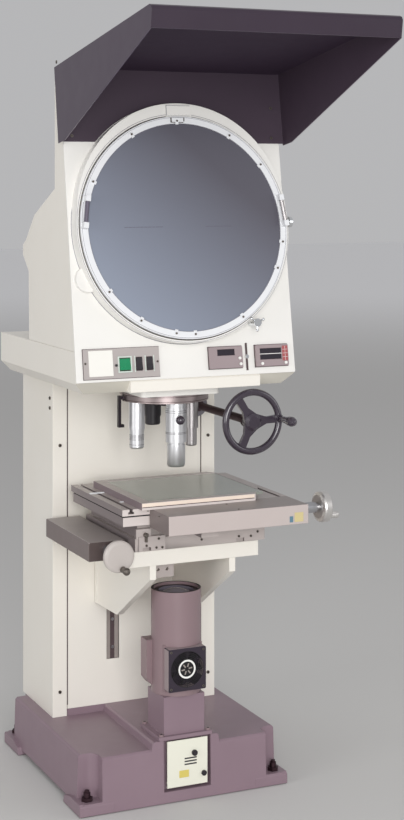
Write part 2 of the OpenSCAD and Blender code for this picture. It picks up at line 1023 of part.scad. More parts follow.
module mirrors() {
    // Main mirror at the rear, which faces the screen
    color("#cdd6da")
    translate([0, -2, 1285])
        rotate([18, 0, 0])
            span([-190, 190], [-4, 4], [-92, 92]);
    // Relay mirror over the lens
    color("#cdd6da")
    translate([0, axis_y + 4, 1122])
        rotate([-26, 0, 0])
            span([-65, 65], [-4, 4], [-80, 80]);
    // Cross bars that carry them, between the side walls
    color("#6f6c70") {
        rod_x(9, 1282, 9, -hw + wall, hw - wall);
        rod_x(axis_y - 6, 1127, 8, -hw + wall, hw - wall);
    }
}

disc_z = [946, 965];
disc_r = 109;

module turret_mount() {
    color(cream)
    difference() {
        translate([0, turret_y, disc_z[1] + slide_gap])
            linear_extrude(985 - disc_z[1] - slide_gap)
                round_rect(206, 214, 12);
        // Light path
        translate([0, axis_y, disc_z[0]])
            cylinder(r = 30, h = 60);
    }
    // Pivot of the turret with its cap
    color(dark) {
        translate([0, turret_y, disc_z[0] - 12])
            cylinder(r = 14, h = 985 - disc_z[0] - 8);
        translate([0, turret_y, disc_z[0] - 16])
            cylinder(r = 20, h = 10);
    }
}

module turret() {
    color(steel)
    difference() {
        union() {
            translate([0, turret_y, disc_z[0]])
                cylinder(r = disc_r, h = disc_z[1] - disc_z[0]);
            translate([0, turret_y, disc_z[0] - 5])
                cylinder(r = 34, h = 6);
        }
        translate([0, turret_y, disc_z[0] - 10])
            cylinder(r = 14 + run_gap, h = 40);
        // Four lens seats
        for (a = [0 : 90 : 270])
            translate([0, turret_y, disc_z[0] - 10])
                rotate([0, 0, a])
                    translate([0, -turret_r, 0])
                        cylinder(r = 17, h = 40);
    }
    // Index lever at the left, with its foot
    color(dark)
    translate([0, turret_y, 0]) {
        span([-122, -116], [-6, 6], [888, 959]);
        span([-122, -108], [-6, 6], [882, 889]);
        span([-118, -104], [-5, 5], [950, 958]);
    }
}

module front_lens() {
    color(chrome)
    translate([0, axis_y, 0])
        difference() {
            union() {
                translate([0, 0, 940])
                    cylinder(r = 16.95, h = disc_z[1] - 941);
                translate([0, 0, 932])
                    cylinder(r = 24, h = disc_z[0] - 932);
                translate([0, 0, 922])
                    cylinder(r = 26, h = 10);
                translate([0, 0, 850])
                    cylinder(r = 25.5, h = 72);
                translate([0, 0, 844])
                    cylinder(r = 20.5, h = 7);
                translate([0, 0, 796])
                    cylinder(r = 22.3, h = 49);
                translate([0, 0, 791])
                    cylinder(r1 = 19.5, r2 = 22.3, h = 5);
            }
            translate([0, 0, 780])
                cylinder(r = 17, h = 30);
            translate([0, 0, 809])
                cylinder(r = 12, h = 200);
        }
    // Ball knob on the barrel's front
    color(dark) {
        rod_y(-5, 907, 4, axis_y - 32, axis_y - 20);
        translate([-5, axis_y - 38, 907])
            sphere(r = 11);
    }
}

// One lens at the seat that stands at the angle a: radii and heights of its two steps
module side_lens(a, upper_r, step_z, lower_r, end_z) {
    translate([0, turret_y, 0])
        rotate([0, 0, a])
            translate([0, -turret_r, 0])
                difference() {
                    union() {
                        translate([0, 0, disc_z[0] - 4])
                            cylinder(r = 16.95, h = disc_z[1] - disc_z[0] + 3);
                        translate([0, 0, step_z])
                            cylinder(r = upper_r, h = disc_z[0] - step_z);
                        translate([0, 0, end_z + 3])
                            cylinder(r = lower_r, h = step_z - end_z - 2);
                        translate([0, 0, end_z])
                            cylinder(r1 = lower_r - 2, r2 = lower_r, h = 3);
                    }
                    translate([0, 0, end_z - 5])
                        cylinder(r = 10, h = 200);
                }
}

module side_lenses() {
    color(chrome) {
        side_lens(270, 20, 875, 18, 829);
        side_lens(90, 17.5, 870, 14, 826);
    }
    // Short black lens at the rear seat
    color(dark)
        side_lens(180, 21, 895, 19, 873);
}

// Screen

ring_out = [10.5, 42];
ring_r = screen_d / 2 + 18.5;
housing_r = [277, 274];
housing_s = [screen_s, screen_s + 28];

module housing_plan() {
    for (i = [0, 1])
        translate([0, housing_s[i]])
            circle(r = housing_r[i]);
}

module ring_housing() {
    color(cream)
    on_face()
        difference() {
            union() {
                linear_extrude(34)
                    difference() {
                        housing_plan();
                        translate([0, screen_s])
                            circle(r = screen_d / 2 + 6);
                    }
                // Plate of the vernier at the top
                translate([-33, screen_s + 264, 20])
                    cube([66, 34, 17]);
                // Cover of the drive at the lower left
                translate([-246, 240, 0])
                    cylinder(r = 31, h = 14);
            }
            translate([0, screen_s, 10])
                cylinder(r = ring_r + 0.5, h = 60);
        }
}

module screen_ring() {
    color(white)
    difference() {
        on_face(0, screen_s, ring_out[0])
            cylinder(r = ring_r, h = ring_out[1] - ring_out[0]);
        on_face(0, screen_s, 0)
            cylinder(r = screen_d / 2 - 7, h = 80);
        on_face(0, screen_s, ring_out[1] - 6.5)
            cylinder(r = screen_d / 2, h = 20);
    }
}

module screen_glass() {
    color("#7d8590")
    on_face(0, screen_s, ring_out[1] - 6.5)
        cylinder(r = screen_d / 2 - 0.05, h = 5.5);
}

module ring_fittings() {
    // Two grips, each a bar on two posts
    color(chrome)
    for (side = [-1, 1])
        on_face(0, screen_s, ring_out[1])
            rotate([0, 0, side * 8])
                for (y = [-32, 32])
                    translate([side * 259 - 6, y - 7, 0])
                        cube([12, 14, 18]);
    color(dark)
    for (side = [-1, 1])
        on_face(0, screen_s, ring_out[1] + 12)
            rotate([0, 0, side * 8])
                translate([side * 259, 0, 0])
                    rotate([90, 0, 0])
                        cylinder(r = 5, h = 50, center = true);
    // Clips and screws that hold the glass
    color(steel)
    for (a = [36, 60, 92, 120, 155, 216, 239, 260, 271, 301, 336, 351])
        on_face(0, screen_s, ring_out[1] - 1)
            rotate([0, 0, a])
                translate([screen_d / 2 + 7, 0, 0]) {
                    translate([-9, -4, 1])
                        cube([13, 8, 2]);
                    translate([0, 0, 2])
                        cylinder(r = 2.6, h = 2.6);
                }
}

feed_x = 171;
feed_s = 121.5;

// Three-armed knob of the ring's fine feed
module fine_feed_knob() {
    color("#8f8b86")
    on_face(feed_x, feed_s, 0.4) {
        cylinder(r = 6, h = 36);
        translate([0, 0, 34])
            cylinder(r = 10, h = 9);
        for (a = [25, 145, 265])
            rotate([0, 0, a])
                translate([6, 0, 39.6])
                    rotate([0, 90, 0]) {
                        cylinder(r = 2.4, h = 12);
                        translate([0, 0, 12])
                            sphere(r = 3.7, $fn = 32);
                    }
    }
}

clamp_s = 368;
clamp_out = 22;

// Round knob at the housing's right that clamps the ring
module ring_clamp_knob() {
    color(chrome)
    on_face(housing_r[0] + 0.3, clamp_s, clamp_out)
        rotate([0, 90, 0]) {
            cylinder(r = 6, h = 8);
            translate([0, 0, 5])
                cylinder(r1 = 14, r2 = 12.5, h = 9);
        }
}

// Hood

hood_foot = 564;

module hood() {
    half = hood_w / 2;
    lip = 50;
    color("#453b47")
    on_face() {
        // Two side panels, in (up the face, outwards)
        both_sides()
            along_x(half - hood_t, half)
                polygon([[hood_foot, 0], [hood_s, 0], [hood_s, hood_reach - 10],
                    [hood_s - 4, hood_reach - 3],
                    [hood_s - 12, hood_reach], [hood_s - lip, hood_reach - 12], [hood_foot, 46]]);
        // Roof
        translate([-half + 1, hood_s - hood_t, 0])
            cube([hood_w - 2, hood_t, hood_reach - 10]);
        // Lip along the front edge
        along_x(-half + 1, half - 1)
            polygon([[hood_s, hood_reach - 11], [hood_s - 4, hood_reach - 3], [hood_s - 12, hood_reach - 1],
                [hood_s - lip + 1, hood_reach - 13], [hood_s - lip + 1, hood_reach - 16],
                [hood_s - 12, hood_reach - 4], [hood_s - 6, hood_reach - 6], [hood_s - 3, hood_reach - 13]]);
        // Back panel on the head's face, cut round the ring housing
        linear_extrude(hood_t)
            difference() {
                translate([-half + 1, hood_foot + 4])
                    square([hood_w - 2, hood_s - hood_foot - 5]);
                translate([0, housing_s[1]])
                    circle(r = housing_r[1] + 1.5);
            }
    }
}

// Controls on the lower front

rocker_s = 38.5;
rockers = [[-164, 27, 30], [-127.5, 15, 31], [-101, 15, 31]];

module control_panel() {
    color("#b9b2b2")
    difference() {
        on_face(-171.5, 42, 0)
            linear_extrude(4)
                round_rect(191, 70, 2);
        for (r = rockers)
            on_face(r[0], rocker_s, 0)
                cube([r[1] + 1.6, r[2] + 1.6, 20], center = true);
    }
    // Pale blank plate and the pale bezel of the power switch
    color(white)
    on_face(-224, 43, 4)
        linear_extrude(1)
            square([60, 60], center = true);
    color("#cfd8cf")
    difference() {
        on_face(rockers[0][0], rocker_s, 4)
            linear_extrude(2)
                square([rockers[0][1] + 8, rockers[0][2] + 8], center = true);
        on_face(rockers[0][0], rocker_s, 0)
            cube([rockers[0][1] + 1.6, rockers[0][2] + 1.6, 30], center = true);
    }
    color(dark)
    on_face(-186, 37, 4)
        cylinder(r = 3, h = 2.5);
}

// A rocker with a hollow top; its pivot pin lies on the local X axis
module rocker(i) {
    w = rockers[i][1];
    h = rockers[i][2];
    on_face(rockers[i][0], rocker_s, 0) {
        translate([-w / 2 - 0.4, 0, 0])
            rotate([0, 90, 0])
                cylinder(r = 2, h = w + 0.8);
        translate([-w / 2, 0, 0])
            rotate([90, 0, 90])
                linear_extrude(w)
                    polygon([[-h / 2 + 3, -7], [h / 2 - 3, -7], [h / 2 - 1, 2], [h / 2 - 1.4, 4.6], [0, 5.6],
                        [-h / 2 + 1.6, 8.4], [-h / 2 + 1, 2]]);
    }
}

module power_rocker() {
    color("#1f8a54")
    rocker(0);
}

module lamp_rocker() {
    color(dark)
    rocker(1);
}

module light_rocker() {
    color(dark)
    rocker(2);
}

readout_s = 43;
button_r = 3.6;
button_depth = 4;

module button_hole(x, s) {
    on_face(x, s, 8 - button_depth - 1.4)
        cylinder(r = button_r + 0.4, h = 20);
}

angle_keys = [[133, 40], [135, 26]];
position_keys = [[193, 24], [257, 24]];

module angle_readout() {
    color("#8d8286")
    difference() {
        on_face(97, readout_s, 0)
            linear_extrude(8)
                round_rect(88, 52, 3);
        on_face(97, 55, 7)
            translate([0, 0, 5])
                cube([46, 14, 10], center = true);
        for (k = angle_keys)
            button_hole(k[0], k[1]);
    }
    color(dark)
    on_face(97, 55, 6)
        translate([0, 0, 1.5])
            cube([45.9, 13.9, 1], center = true);
}

module position_readout() {
    color("#8d8286")
    difference() {
        on_face(221, readout_s, 0)
            linear_extrude(8)
                round_rect(88, 52, 3);
        for (s = [54, 40])
            on_face(217, s, 12)
                cube([58, 12, 10], center = true);
        for (k = position_keys)
            button_hole(k[0], k[1]);
    }
    color(dark)
    for (s = [54, 40])
        on_face(217, s, 7.5)
            cube([57.9, 11.9, 1], center = true);
    // Film keypad
    color("#c05a58")
    on_face(256, 47, 8)
        linear_extrude(0.8)
            round_rect(15, 36, 1.5);
}

module button(x, s) {
    on_face(x, s, 8 - button_depth)
        cylinder(r = button_r, h = button_depth + 2);
}

module angle_button_upper() {
    color(white)
    button(angle_keys[0][0], angle_keys[0][1]);
}

module angle_button_lower() {
    color(white)
    button(angle_keys[1][0], angle_keys[1][1]);
}

module position_button_left() {
    color(white)
    button(position_keys[0][0], position_keys[0][1]);
}

module position_button_right() {
    color(white)
    button(position_keys[1][0], position_keys[1][1]);
}

base_casting();
levelling_feet();
terminal_panel();
column_sides();
column_front_panel();
column_rear_cover();
column_backbone();
guide_rails();
drive_bearings();
z_leadscrew();
cross_shaft();
handwheel_shaft();
handwheel();
handwheel_grip();
lamp_housing();
lamp_pedestal();
condenser_lens();
lamp_bulb();
fan_frame();
fan_rotor();
knee_carriage();
knee_brackets();
knee_top_plate();
y_cover();
y_screw();
y_handle();
y_handle_grip();
saddle();
table_slide();
table_top();
stage_glass();
x_cover();
x_screw();
x_handle();
x_handle_grip();
head_lower_box();
head_shell();
head_front_panel();
mirrors();
turret_mount();
turret();
front_lens();
side_lenses();
ring_housing();
screen_ring();
screen_glass();
ring_fittings();
ring_clamp_knob();
fine_feed_knob();
hood();
control_panel();
power_rocker();
lamp_rocker();
light_rocker();
angle_readout();
angle_button_upper();
angle_button_lower();
position_readout();
position_button_left();
position_button_right();
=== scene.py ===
# %% [markdown]
# # A floor-standing optical comparator
# A comparator throws the enlarged shadow of a small part onto a large round screen. The mechanical
# model gives every solid piece in one shared frame, in metres. This file gives those pieces their
# finish, rounds their edges, and adds the screws, marks and trim that a drawing leaves out.

# %% Load the frame
import bpy
import bmesh
import json
import math
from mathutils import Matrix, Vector


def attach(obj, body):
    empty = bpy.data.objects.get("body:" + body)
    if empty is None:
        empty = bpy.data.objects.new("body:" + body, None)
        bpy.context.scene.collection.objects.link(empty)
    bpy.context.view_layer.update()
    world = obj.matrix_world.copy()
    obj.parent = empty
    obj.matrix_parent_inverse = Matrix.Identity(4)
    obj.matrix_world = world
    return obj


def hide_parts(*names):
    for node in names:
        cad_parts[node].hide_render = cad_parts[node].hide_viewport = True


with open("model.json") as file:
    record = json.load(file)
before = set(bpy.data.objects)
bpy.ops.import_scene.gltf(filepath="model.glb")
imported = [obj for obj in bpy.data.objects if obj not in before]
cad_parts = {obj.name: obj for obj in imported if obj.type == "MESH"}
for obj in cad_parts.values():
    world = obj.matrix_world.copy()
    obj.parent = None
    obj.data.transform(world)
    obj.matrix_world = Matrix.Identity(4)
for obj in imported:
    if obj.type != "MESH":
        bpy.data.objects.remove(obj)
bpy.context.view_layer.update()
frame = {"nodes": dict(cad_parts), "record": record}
solids = frame["nodes"]
print("pieces in the frame:", len(solids))

# %% [markdown]
# ## The camera
# The photograph was taken from the operator's left, a little above the screen, with a long lens and
# the camera held level, so upright edges stay upright. A shift of the lens moves the picture down.

# %% Camera
camera_data = bpy.data.cameras.new("camera")
camera = bpy.data.objects.new("camera", camera_data)
bpy.context.scene.collection.objects.link(camera)
camera.location = (-1.5947, -3.8789, 1.4841)
camera.rotation_euler = (math.radians(90), 0, math.radians(-24.4793))
camera_data.sensor_width = 36
camera_data.lens = 72.17
camera_data.shift_y = -0.2803
camera_data.clip_end = 50
bpy.context.scene.camera = camera
print("camera stands at", tuple(camera.location))

# %% [markdown]
# ## Colours and node trees
# Paint colours are known as sRGB hex values, while the renderer counts in linear light, so one
# function turns one into the other. Another adds a node with its settings and its links. A third
# turns the size of a hump in the finish, in millimetres, into the scale of a noise.


# %% Helpers for colour and nodes
def colour(hex_code):
    channels = [int(hex_code[i:i + 2], 16) / 255 for i in (1, 3, 5)]
    linear = [c / 12.92 if c <= 0.04045 else ((c + 0.055) / 1.055) ** 2.4 for c in channels]
    return (*linear, 1.0)


def add(tree, kind, links=None, **settings):
    """Adds one node. links maps a socket to a value or to the socket that feeds it."""
    made = tree.nodes.new(kind)
    for name, value in settings.items():
        setattr(made, name, value)
    for key, value in (links or {}).items():
        socket = made.inputs[key]
        if isinstance(value, bpy.types.NodeSocket):
            tree.links.new(value, socket)
        else:
            socket.default_value = value
    return made


def blank_material(name):
    material = bpy.data.materials.new(name)
    material.use_nodes = True
    tree = material.node_tree
    tree.nodes.clear()
    shader = add(tree, "ShaderNodeBsdfPrincipled")
    add(tree, "ShaderNodeOutputMaterial", {"Surface": shader.outputs["BSDF"]})
    return material, tree, shader


def noise_scale(hump_mm):
    """A noise makes about two humps a unit, and a unit is a metre."""
    return 1000 / hump_mm / 2


print("mid grey in linear light:", round(colour("#808080")[0], 3))

# %% [markdown]
# ## Sprayed and stoved paint
# Machine paint is sprayed thick and stoved. It dries with a faint orange peel, about 2 mm from hump
# to hump, and its tone drifts a little over a panel. Bare noise does both: a fine one feeds the
# bump, and a broad one mixes two close tones. The Bevel node rounds the light on sharp sheet edges.


# %% Paint
def sprayed_paint(name, tone, drift, roughness, peel_mm=2.0, peel=0.25, coat=0.1, edge_mm=1.0):
    material, tree, shader = blank_material(name)
    place = add(tree, "ShaderNodeTexCoord").outputs["Object"]
    broad = add(tree, "ShaderNodeTexNoise", {"Vector": place, "Scale": 7.0, "Detail": 3.0})
    mixed = add(tree, "ShaderNodeMix", {0: broad.outputs["Fac"], 6: colour(tone), 7: colour(drift)},
                data_type="RGBA")
    tree.links.new(mixed.outputs[2], shader.inputs["Base Color"])
    smudge = add(tree, "ShaderNodeTexNoise", {"Vector": place, "Scale": 24.0, "Detail": 5.0})
    gloss = add(tree, "ShaderNodeMapRange",
                {"Value": smudge.outputs["Fac"], "To Min": roughness - 0.05,
                 "To Max": roughness + 0.06})
    tree.links.new(gloss.outputs["Result"], shader.inputs["Roughness"])
    fine = add(tree, "ShaderNodeTexNoise", {"Vector": place, "Scale": noise_scale(peel_mm),
                                            "Detail": 1.0})
    rounded = add(tree, "ShaderNodeBevel", {"Radius": edge_mm / 1000}, samples=4)
    bump = add(tree, "ShaderNodeBump", {"Height": fine.outputs["Fac"], "Strength": peel,
                                        "Distance": 0.00006, "Normal": rounded.outputs["Normal"]})
    tree.links.new(bump.outputs["Normal"], shader.inputs["Normal"])
    shader.inputs["Coat Weight"].default_value = coat
    shader.inputs["Coat Roughness"].default_value = 0.25
    return material


cream_paint = sprayed_paint("stoved cream enamel", "#EFEBE3", "#EAE5DB", 0.42)
head_paint = sprayed_paint("paler enamel of the head's front", "#ECEAE6", "#E7E5E0", 0.42)
mauve_paint = sprayed_paint("stoved grey-mauve enamel", "#8F797D", "#857074", 0.40, peel_mm=2.4)
casting_paint = sprayed_paint("filled and painted grey-mauve casting", "#907A84", "#846F79", 0.42,
                              peel_mm=3.0, peel=0.45, edge_mm=2.5)
stage_paint = sprayed_paint("light grey-mauve table paint", "#B2A8A4", "#A89E9B", 0.38)
cover_paint = sprayed_paint("pale grey-mauve cover paint", "#C2B7B3", "#BBAFAB", 0.42)
warm_grey_paint = sprayed_paint("warm grey cover paint", "#A39A97", "#9A918E", 0.45)
hood_paint = sprayed_paint("satin dark plum hood paint", "#3B2E3C", "#352936", 0.38, coat=0.25)
# Paler and darker copies of the hood paint: painted light on its left side and inner walls, painted
# shade on its lip and under its roof.
hood_lit_side_paint = sprayed_paint("plum paint of the hood's left side", "#403143", "#3A2C3D", 0.38,
                                coat=0.25)
hood_lip_shade_paint = sprayed_paint("plum paint darkened as painted shade on the hood's lip", "#322434", "#2D202F", 0.42)
hood_roof_shade_paint = sprayed_paint("flat plum paint under the hood's roof", "#321F36", "#2D1B31", 0.75,
                                coat=0.0)
hood_lit_wall_paint = sprayed_paint("flat plum paint of the hood's inner walls", "#433543", "#3D303D",
                                0.6, coat=0.0)
# A paler plum along the hood's lower edge is a painted highlight.
hood_edge_highlight_paint = sprayed_paint("painted highlight on the hood's lower edge", "#655A69", "#5D5261", 0.4)
bevel_paint = sprayed_paint("shaded enamel under the head", "#CDC9BE", "#C7C2B6", 0.42)
panel_paint = sprayed_paint("grey panel paint", "#B3ABA8", "#ABA3A1", 0.45, peel_mm=1.2)
# Painted shade for the covers' left sides.
shade_paint = sprayed_paint("painted shade on the covers' left sides", "#7D716F", "#746967", 0.45)
brown_paint = sprayed_paint("dark brown-grey paint", "#544745", "#4B3F3D", 0.45)
# Painted shade for the left sides of the saddle, slide and table.
side_paint = sprayed_paint("painted shade on the table's left sides", "#867B7B", "#7C7272", 0.40)
# Painted shade for the left side of the glass frame.
insert_side_shade_paint = sprayed_paint("brown-grey painted shade on the glass frame's left side", "#85767A", "#7B6C70", 0.40)
# Paler copies of the table paint for the fronts: painted light.
lit_front_paint = sprayed_paint("painted light on the table's front", "#DDD3CF", "#D5CBC7", 0.38)
saddle_lit_front_paint = sprayed_paint("painted light on the saddle's front", "#C0B6B2", "#B7ADA9", 0.38)
# A darker copy of the cover paint for its top: painted shade.
cover_top_shade_paint = sprayed_paint("painted shade on the cover's top", "#978D8A", "#8F8582", 0.42)
crank_paint = sprayed_paint("silver-grey crank paint", "#C2BAB5", "#BBB3AE", 0.34)
terminal_paint = sprayed_paint("cream-white terminal plate", "#ECEBDC", "#E6E5D5", 0.40,
                               peel_mm=1.2)
fan_paint = sprayed_paint("dark violet moulding of the fan", "#2D2231", "#271D2B", 0.45,
                          peel_mm=1.0)
white_paint = sprayed_paint("white ring paint", "#E9EAEC", "#E3E4E7", 0.35, peel_mm=1.4)
readout_and_edge_light_paint = sprayed_paint("darker grey-mauve readout paint and painted edge light", "#9F9092", "#97888A", 0.45,
                              peel_mm=1.2)
iron_paint = sprayed_paint("grey primed iron", "#77737A", "#6B676E", 0.55, peel_mm=3.0, peel=0.5)
print("materials after the paints:", len(bpy.data.materials))

# %% [markdown]
# ## Ground, turned and plated metal
# A turned barrel carries fine rings round its axis, a ground way carries lines along its length.
# Both come from one noise that is stretched until it is a line. A metal keeps its own colour in its
# reflection, so only the colour and the roughness change from steel to chrome to aluminium.


# %% Metal
def worked_metal(name, tone, roughness, stretch, line_mm=0.8, depth=0.2, edge_mm=0.5):
    material, tree, shader = blank_material(name)
    place = add(tree, "ShaderNodeTexCoord").outputs["Object"]
    laid = add(tree, "ShaderNodeMapping", {"Vector": place, "Scale": stretch})
    lines = add(tree, "ShaderNodeTexNoise", {"Vector": laid.outputs["Vector"],
                                             "Scale": noise_scale(line_mm), "Detail": 2.0})
    haze = add(tree, "ShaderNodeMapRange", {"Value": lines.outputs["Fac"],
                                            "To Min": roughness - 0.06, "To Max": roughness + 0.1})
    tree.links.new(haze.outputs["Result"], shader.inputs["Roughness"])
    rounded = add(tree, "ShaderNodeBevel", {"Radius": edge_mm / 1000}, samples=4)
    bump = add(tree, "ShaderNodeBump", {"Height": lines.outputs["Fac"], "Strength": depth,
                                        "Distance": 0.00003, "Normal": rounded.outputs["Normal"]})
    tree.links.new(bump.outputs["Normal"], shader.inputs["Normal"])
    shader.inputs["Base Color"].default_value = colour(tone)
    shader.inputs["Metallic"].default_value = 1.0
    return material


ground_steel = worked_metal("ground steel", "#B9B9BC", 0.30, (1, 1, 0.03))
turned_steel = worked_metal("turned steel", "#A39695", 0.34, (0.04, 0.04, 1))
satin_chrome = worked_metal("satin chrome on a turned barrel", "#DEDEE0", 0.36, (0.04, 0.04, 1))
dull_and_shaded_chrome = worked_metal("dull chrome and painted shade", "#A8A4A4", 0.34, (0.04, 0.04, 1))
bright_chrome = worked_metal("bright chrome", "#E6E8EA", 0.10, (0.04, 0.04, 1), depth=0.05)
machined_aluminium = worked_metal("machined aluminium", "#DEDBD8", 0.36, (1, 0.04, 1))
black_steel = worked_metal("blackened steel", "#3A353A", 0.38, (1, 1, 0.1))
brown_steel = worked_metal("browned steel", "#4A383E", 0.5, (1, 1, 0.1))
worn_grey = worked_metal("worn grey-brown steel", "#77706A", 0.4, (1, 1, 0.1))
soft_grey = worked_metal("grey engraved line and painted edge shade", "#8D8C96", 0.5, (1, 1, 1), depth=0.0)
dark_zinc = worked_metal("dark zinc", "#6E665F", 0.42, (1, 1, 1))
print("materials after the metals:", len(bpy.data.materials))

# %% [markdown]
# ## Mouldings, glass and mirrors
# Black grips are compression moulded and polished; switches and fans are plain moulded ABS. The
# screen is ground on one side, so it scatters light softly instead of showing what stands behind
# it;
# its tone is a painted reflection, darker towards the top right.


# %% Mouldings
def moulding(name, tone, roughness, grain_mm=0.6, grain=0.1, coat=0.0, edge_mm=0.6):
    material, tree, shader = blank_material(name)
    place = add(tree, "ShaderNodeTexCoord").outputs["Object"]
    fine = add(tree, "ShaderNodeTexNoise", {"Vector": place, "Scale": noise_scale(grain_mm),
                                            "Detail": 2.0})
    cloud = add(tree, "ShaderNodeTexNoise", {"Vector": place, "Scale": 30.0, "Detail": 4.0})
    worn = add(tree, "ShaderNodeMapRange", {"Value": cloud.outputs["Fac"],
                                            "To Min": roughness - 0.04, "To Max": roughness + 0.08})
    tree.links.new(worn.outputs["Result"], shader.inputs["Roughness"])
    rounded = add(tree, "ShaderNodeBevel", {"Radius": edge_mm / 1000}, samples=4)
    bump = add(tree, "ShaderNodeBump", {"Height": fine.outputs["Fac"], "Strength": grain,
                                        "Distance": 0.00005, "Normal": rounded.outputs["Normal"]})
    tree.links.new(bump.outputs["Normal"], shader.inputs["Normal"])
    shader.inputs["Base Color"].default_value = colour(tone)
    shader.inputs["Coat Weight"].default_value = coat
    shader.inputs["Coat Roughness"].default_value = 0.08
    return material


polished_black = moulding("polished dark violet phenolic", "#352C38", 0.24, coat=0.8, edge_mm=1.5)
black_abs = moulding("black ABS", "#262227", 0.45)
# Near black for insides and the fan rotor, and painted shade in a gap and in screw recesses.
black_and_shade = moulding("near-black insides and painted shade", "#141215", 0.8)
white_abs = moulding("white ABS", "#F1F0EC", 0.35)
cream_card = moulding("printed cream plate", "#EDEBE4", 0.4)
green_abs = moulding("green translucent ABS", "#0E8657", 0.25, coat=0.4)
bezel_abs = moulding("pale green-grey bezel", "#CBD6CD", 0.4)
red_film = moulding("red keypad film", "#A85456", 0.35)
yellow_sheet = moulding("yellow plate", "#D9C768", 0.5)
straw_sheet = moulding("faded yellow plate", "#CDBE8C", 0.5)
peach_highlight = moulding("peach painted highlight", "#F3E2D2", 0.35)
window_acrylic = moulding("smoked window", "#221B26", 0.12, coat=0.5)
lamp_glass = moulding("opal lamp glass", "#E9E6DF", 0.3)
grip_grey = moulding("violet-grey grip bar", "#5C5665", 0.4)
band_grey = moulding("grey dust band", "#9A918C", 0.5)
seal_and_shadow_rubber = moulding("dark seal and painted shadow", "#4A4440", 0.6)
gasket_and_shadow_brown = moulding("brown-black gasket and painted shadow", "#4E3E40", 0.6)
blue_sheet = moulding("blue-grey plate", "#5F8090", 0.4)
print("materials after the mouldings:", len(bpy.data.materials))


# %% Glass and mirrors
def plate_glass(name, tone, roughness, through, ior=1.52):
    material, tree, shader = blank_material(name)
    place = add(tree, "ShaderNodeTexCoord").outputs["Object"]
    film = add(tree, "ShaderNodeTexNoise", {"Vector": place, "Scale": 9.0, "Detail": 4.0})
    haze = add(tree, "ShaderNodeMapRange", {"Value": film.outputs["Fac"], "To Min": roughness,
                                            "To Max": roughness + 0.08})
    tree.links.new(haze.outputs["Result"], shader.inputs["Roughness"])
    shader.inputs["Base Color"].default_value = colour(tone)
    shader.inputs["Transmission Weight"].default_value = through
    shader.inputs["IOR"].default_value = ior
    return material


def ground_screen(name):
    """Ground glass over a dark cabin. A painted reflection darkens it from lower left to top right.
    """
    material, tree, shader = blank_material(name)
    place = add(tree, "ShaderNodeTexCoord").outputs["Object"]
    level = add(tree, "ShaderNodeSeparateXYZ", {"Vector": place})
    across = add(tree, "ShaderNodeMath", {0: level.outputs["X"], 1: -0.85}, operation="MULTIPLY")
    slant = add(tree, "ShaderNodeMath", {0: across.outputs[0], 1: level.outputs["Z"]},
                operation="SUBTRACT")
    share = add(tree, "ShaderNodeMapRange", {"Value": slant.outputs[0], "From Min": -1.59,
                                             "From Max": -1.0})
    tone = add(tree, "ShaderNodeMix", {0: share.outputs["Result"], 6: colour("#57555F"),
                                       7: colour("#8F97A7")}, data_type="RGBA")
    tree.links.new(tone.outputs[2], shader.inputs["Base Color"])
    grind = add(tree, "ShaderNodeTexNoise", {"Vector": place, "Scale": 900.0, "Detail": 2.0})
    bump = add(tree, "ShaderNodeBump", {"Height": grind.outputs["Fac"], "Strength": 0.12,
                                        "Distance": 0.00003})
    tree.links.new(bump.outputs["Normal"], shader.inputs["Normal"])
    shader.inputs["Roughness"].default_value = 0.34
    shader.inputs["IOR"].default_value = 1.5
    return material


screen_glass = ground_screen("ground projection glass")
stage_glass = plate_glass("clear stage glass", "#AEB2A8", 0.18, 0.35)
lens_glass = plate_glass("coated lens glass", "#918B98", 0.06, 0.3, 1.6)
front_mirror = worked_metal("front-silvered mirror", "#DDE2E6", 0.04, (1, 1, 1), depth=0.0)
print("all materials of the machine:", len(bpy.data.materials))

# %% [markdown]
# ## Which finish goes where
# Every piece of the frame gets its finish by assignment to its material slots. The solids stay as
# they are; a piece that needs another shape is replaced further down.

# %% Finish of each piece
finish_of = {
    cream_paint: ["column_sides", "column_front_panel", "column_rear_cover", "knee_brackets",
                  "knee_top_plate", "head_lower_box", "head_shell", "turret_mount"],
    head_paint: ["head_front_panel", "ring_housing"],
    casting_paint: ["base_casting", "lamp_pedestal"],
    mauve_paint: ["lamp_housing"],
    stage_paint: ["saddle", "table_slide", "table_top"],
    cover_paint: ["x_cover"],
    warm_grey_paint: ["y_cover"],
    hood_paint: ["hood"],
    panel_paint: ["control_panel", "angle_readout", "position_readout"],
    white_paint: ["screen_ring", "terminal_panel"],
    iron_paint: ["column_backbone", "knee_carriage", "drive_bearings"],
    ground_steel: ["guide_rails", "y_screw", "x_screw", "z_leadscrew", "cross_shaft"],
    turned_steel: ["turret"],
    satin_chrome: ["front_lens", "side_lenses", "ring_fittings"],
    bright_chrome: ["ring_clamp_knob", "fine_feed_knob"],
    machined_aluminium: ["x_handle", "x_handle_grip"],
    crank_paint: ["y_handle"],
    brown_steel: ["levelling_feet", "handwheel_shaft"],
    worn_grey: ["y_handle_grip"],
    polished_black: ["handwheel", "handwheel_grip"],
    black_abs: ["fan_frame", "fan_rotor", "lamp_rocker", "light_rocker"],
    green_abs: ["power_rocker"],
    white_abs: ["angle_button_upper", "angle_button_lower", "position_button_left",
                "position_button_right"],
    lamp_glass: ["lamp_bulb"],
    screen_glass: ["screen_glass"],
    stage_glass: ["stage_glass"],
    lens_glass: ["condenser_lens"],
    front_mirror: ["mirrors"],
}
for finish, names in finish_of.items():
    for name in names:
        slots = solids[name].data.materials
        slots.clear()
        slots.append(finish)
left_out = set(solids) - {n for names in finish_of.values() for n in names}
print("pieces with a finish:", len(solids) - len(left_out), "without:", sorted(left_out))

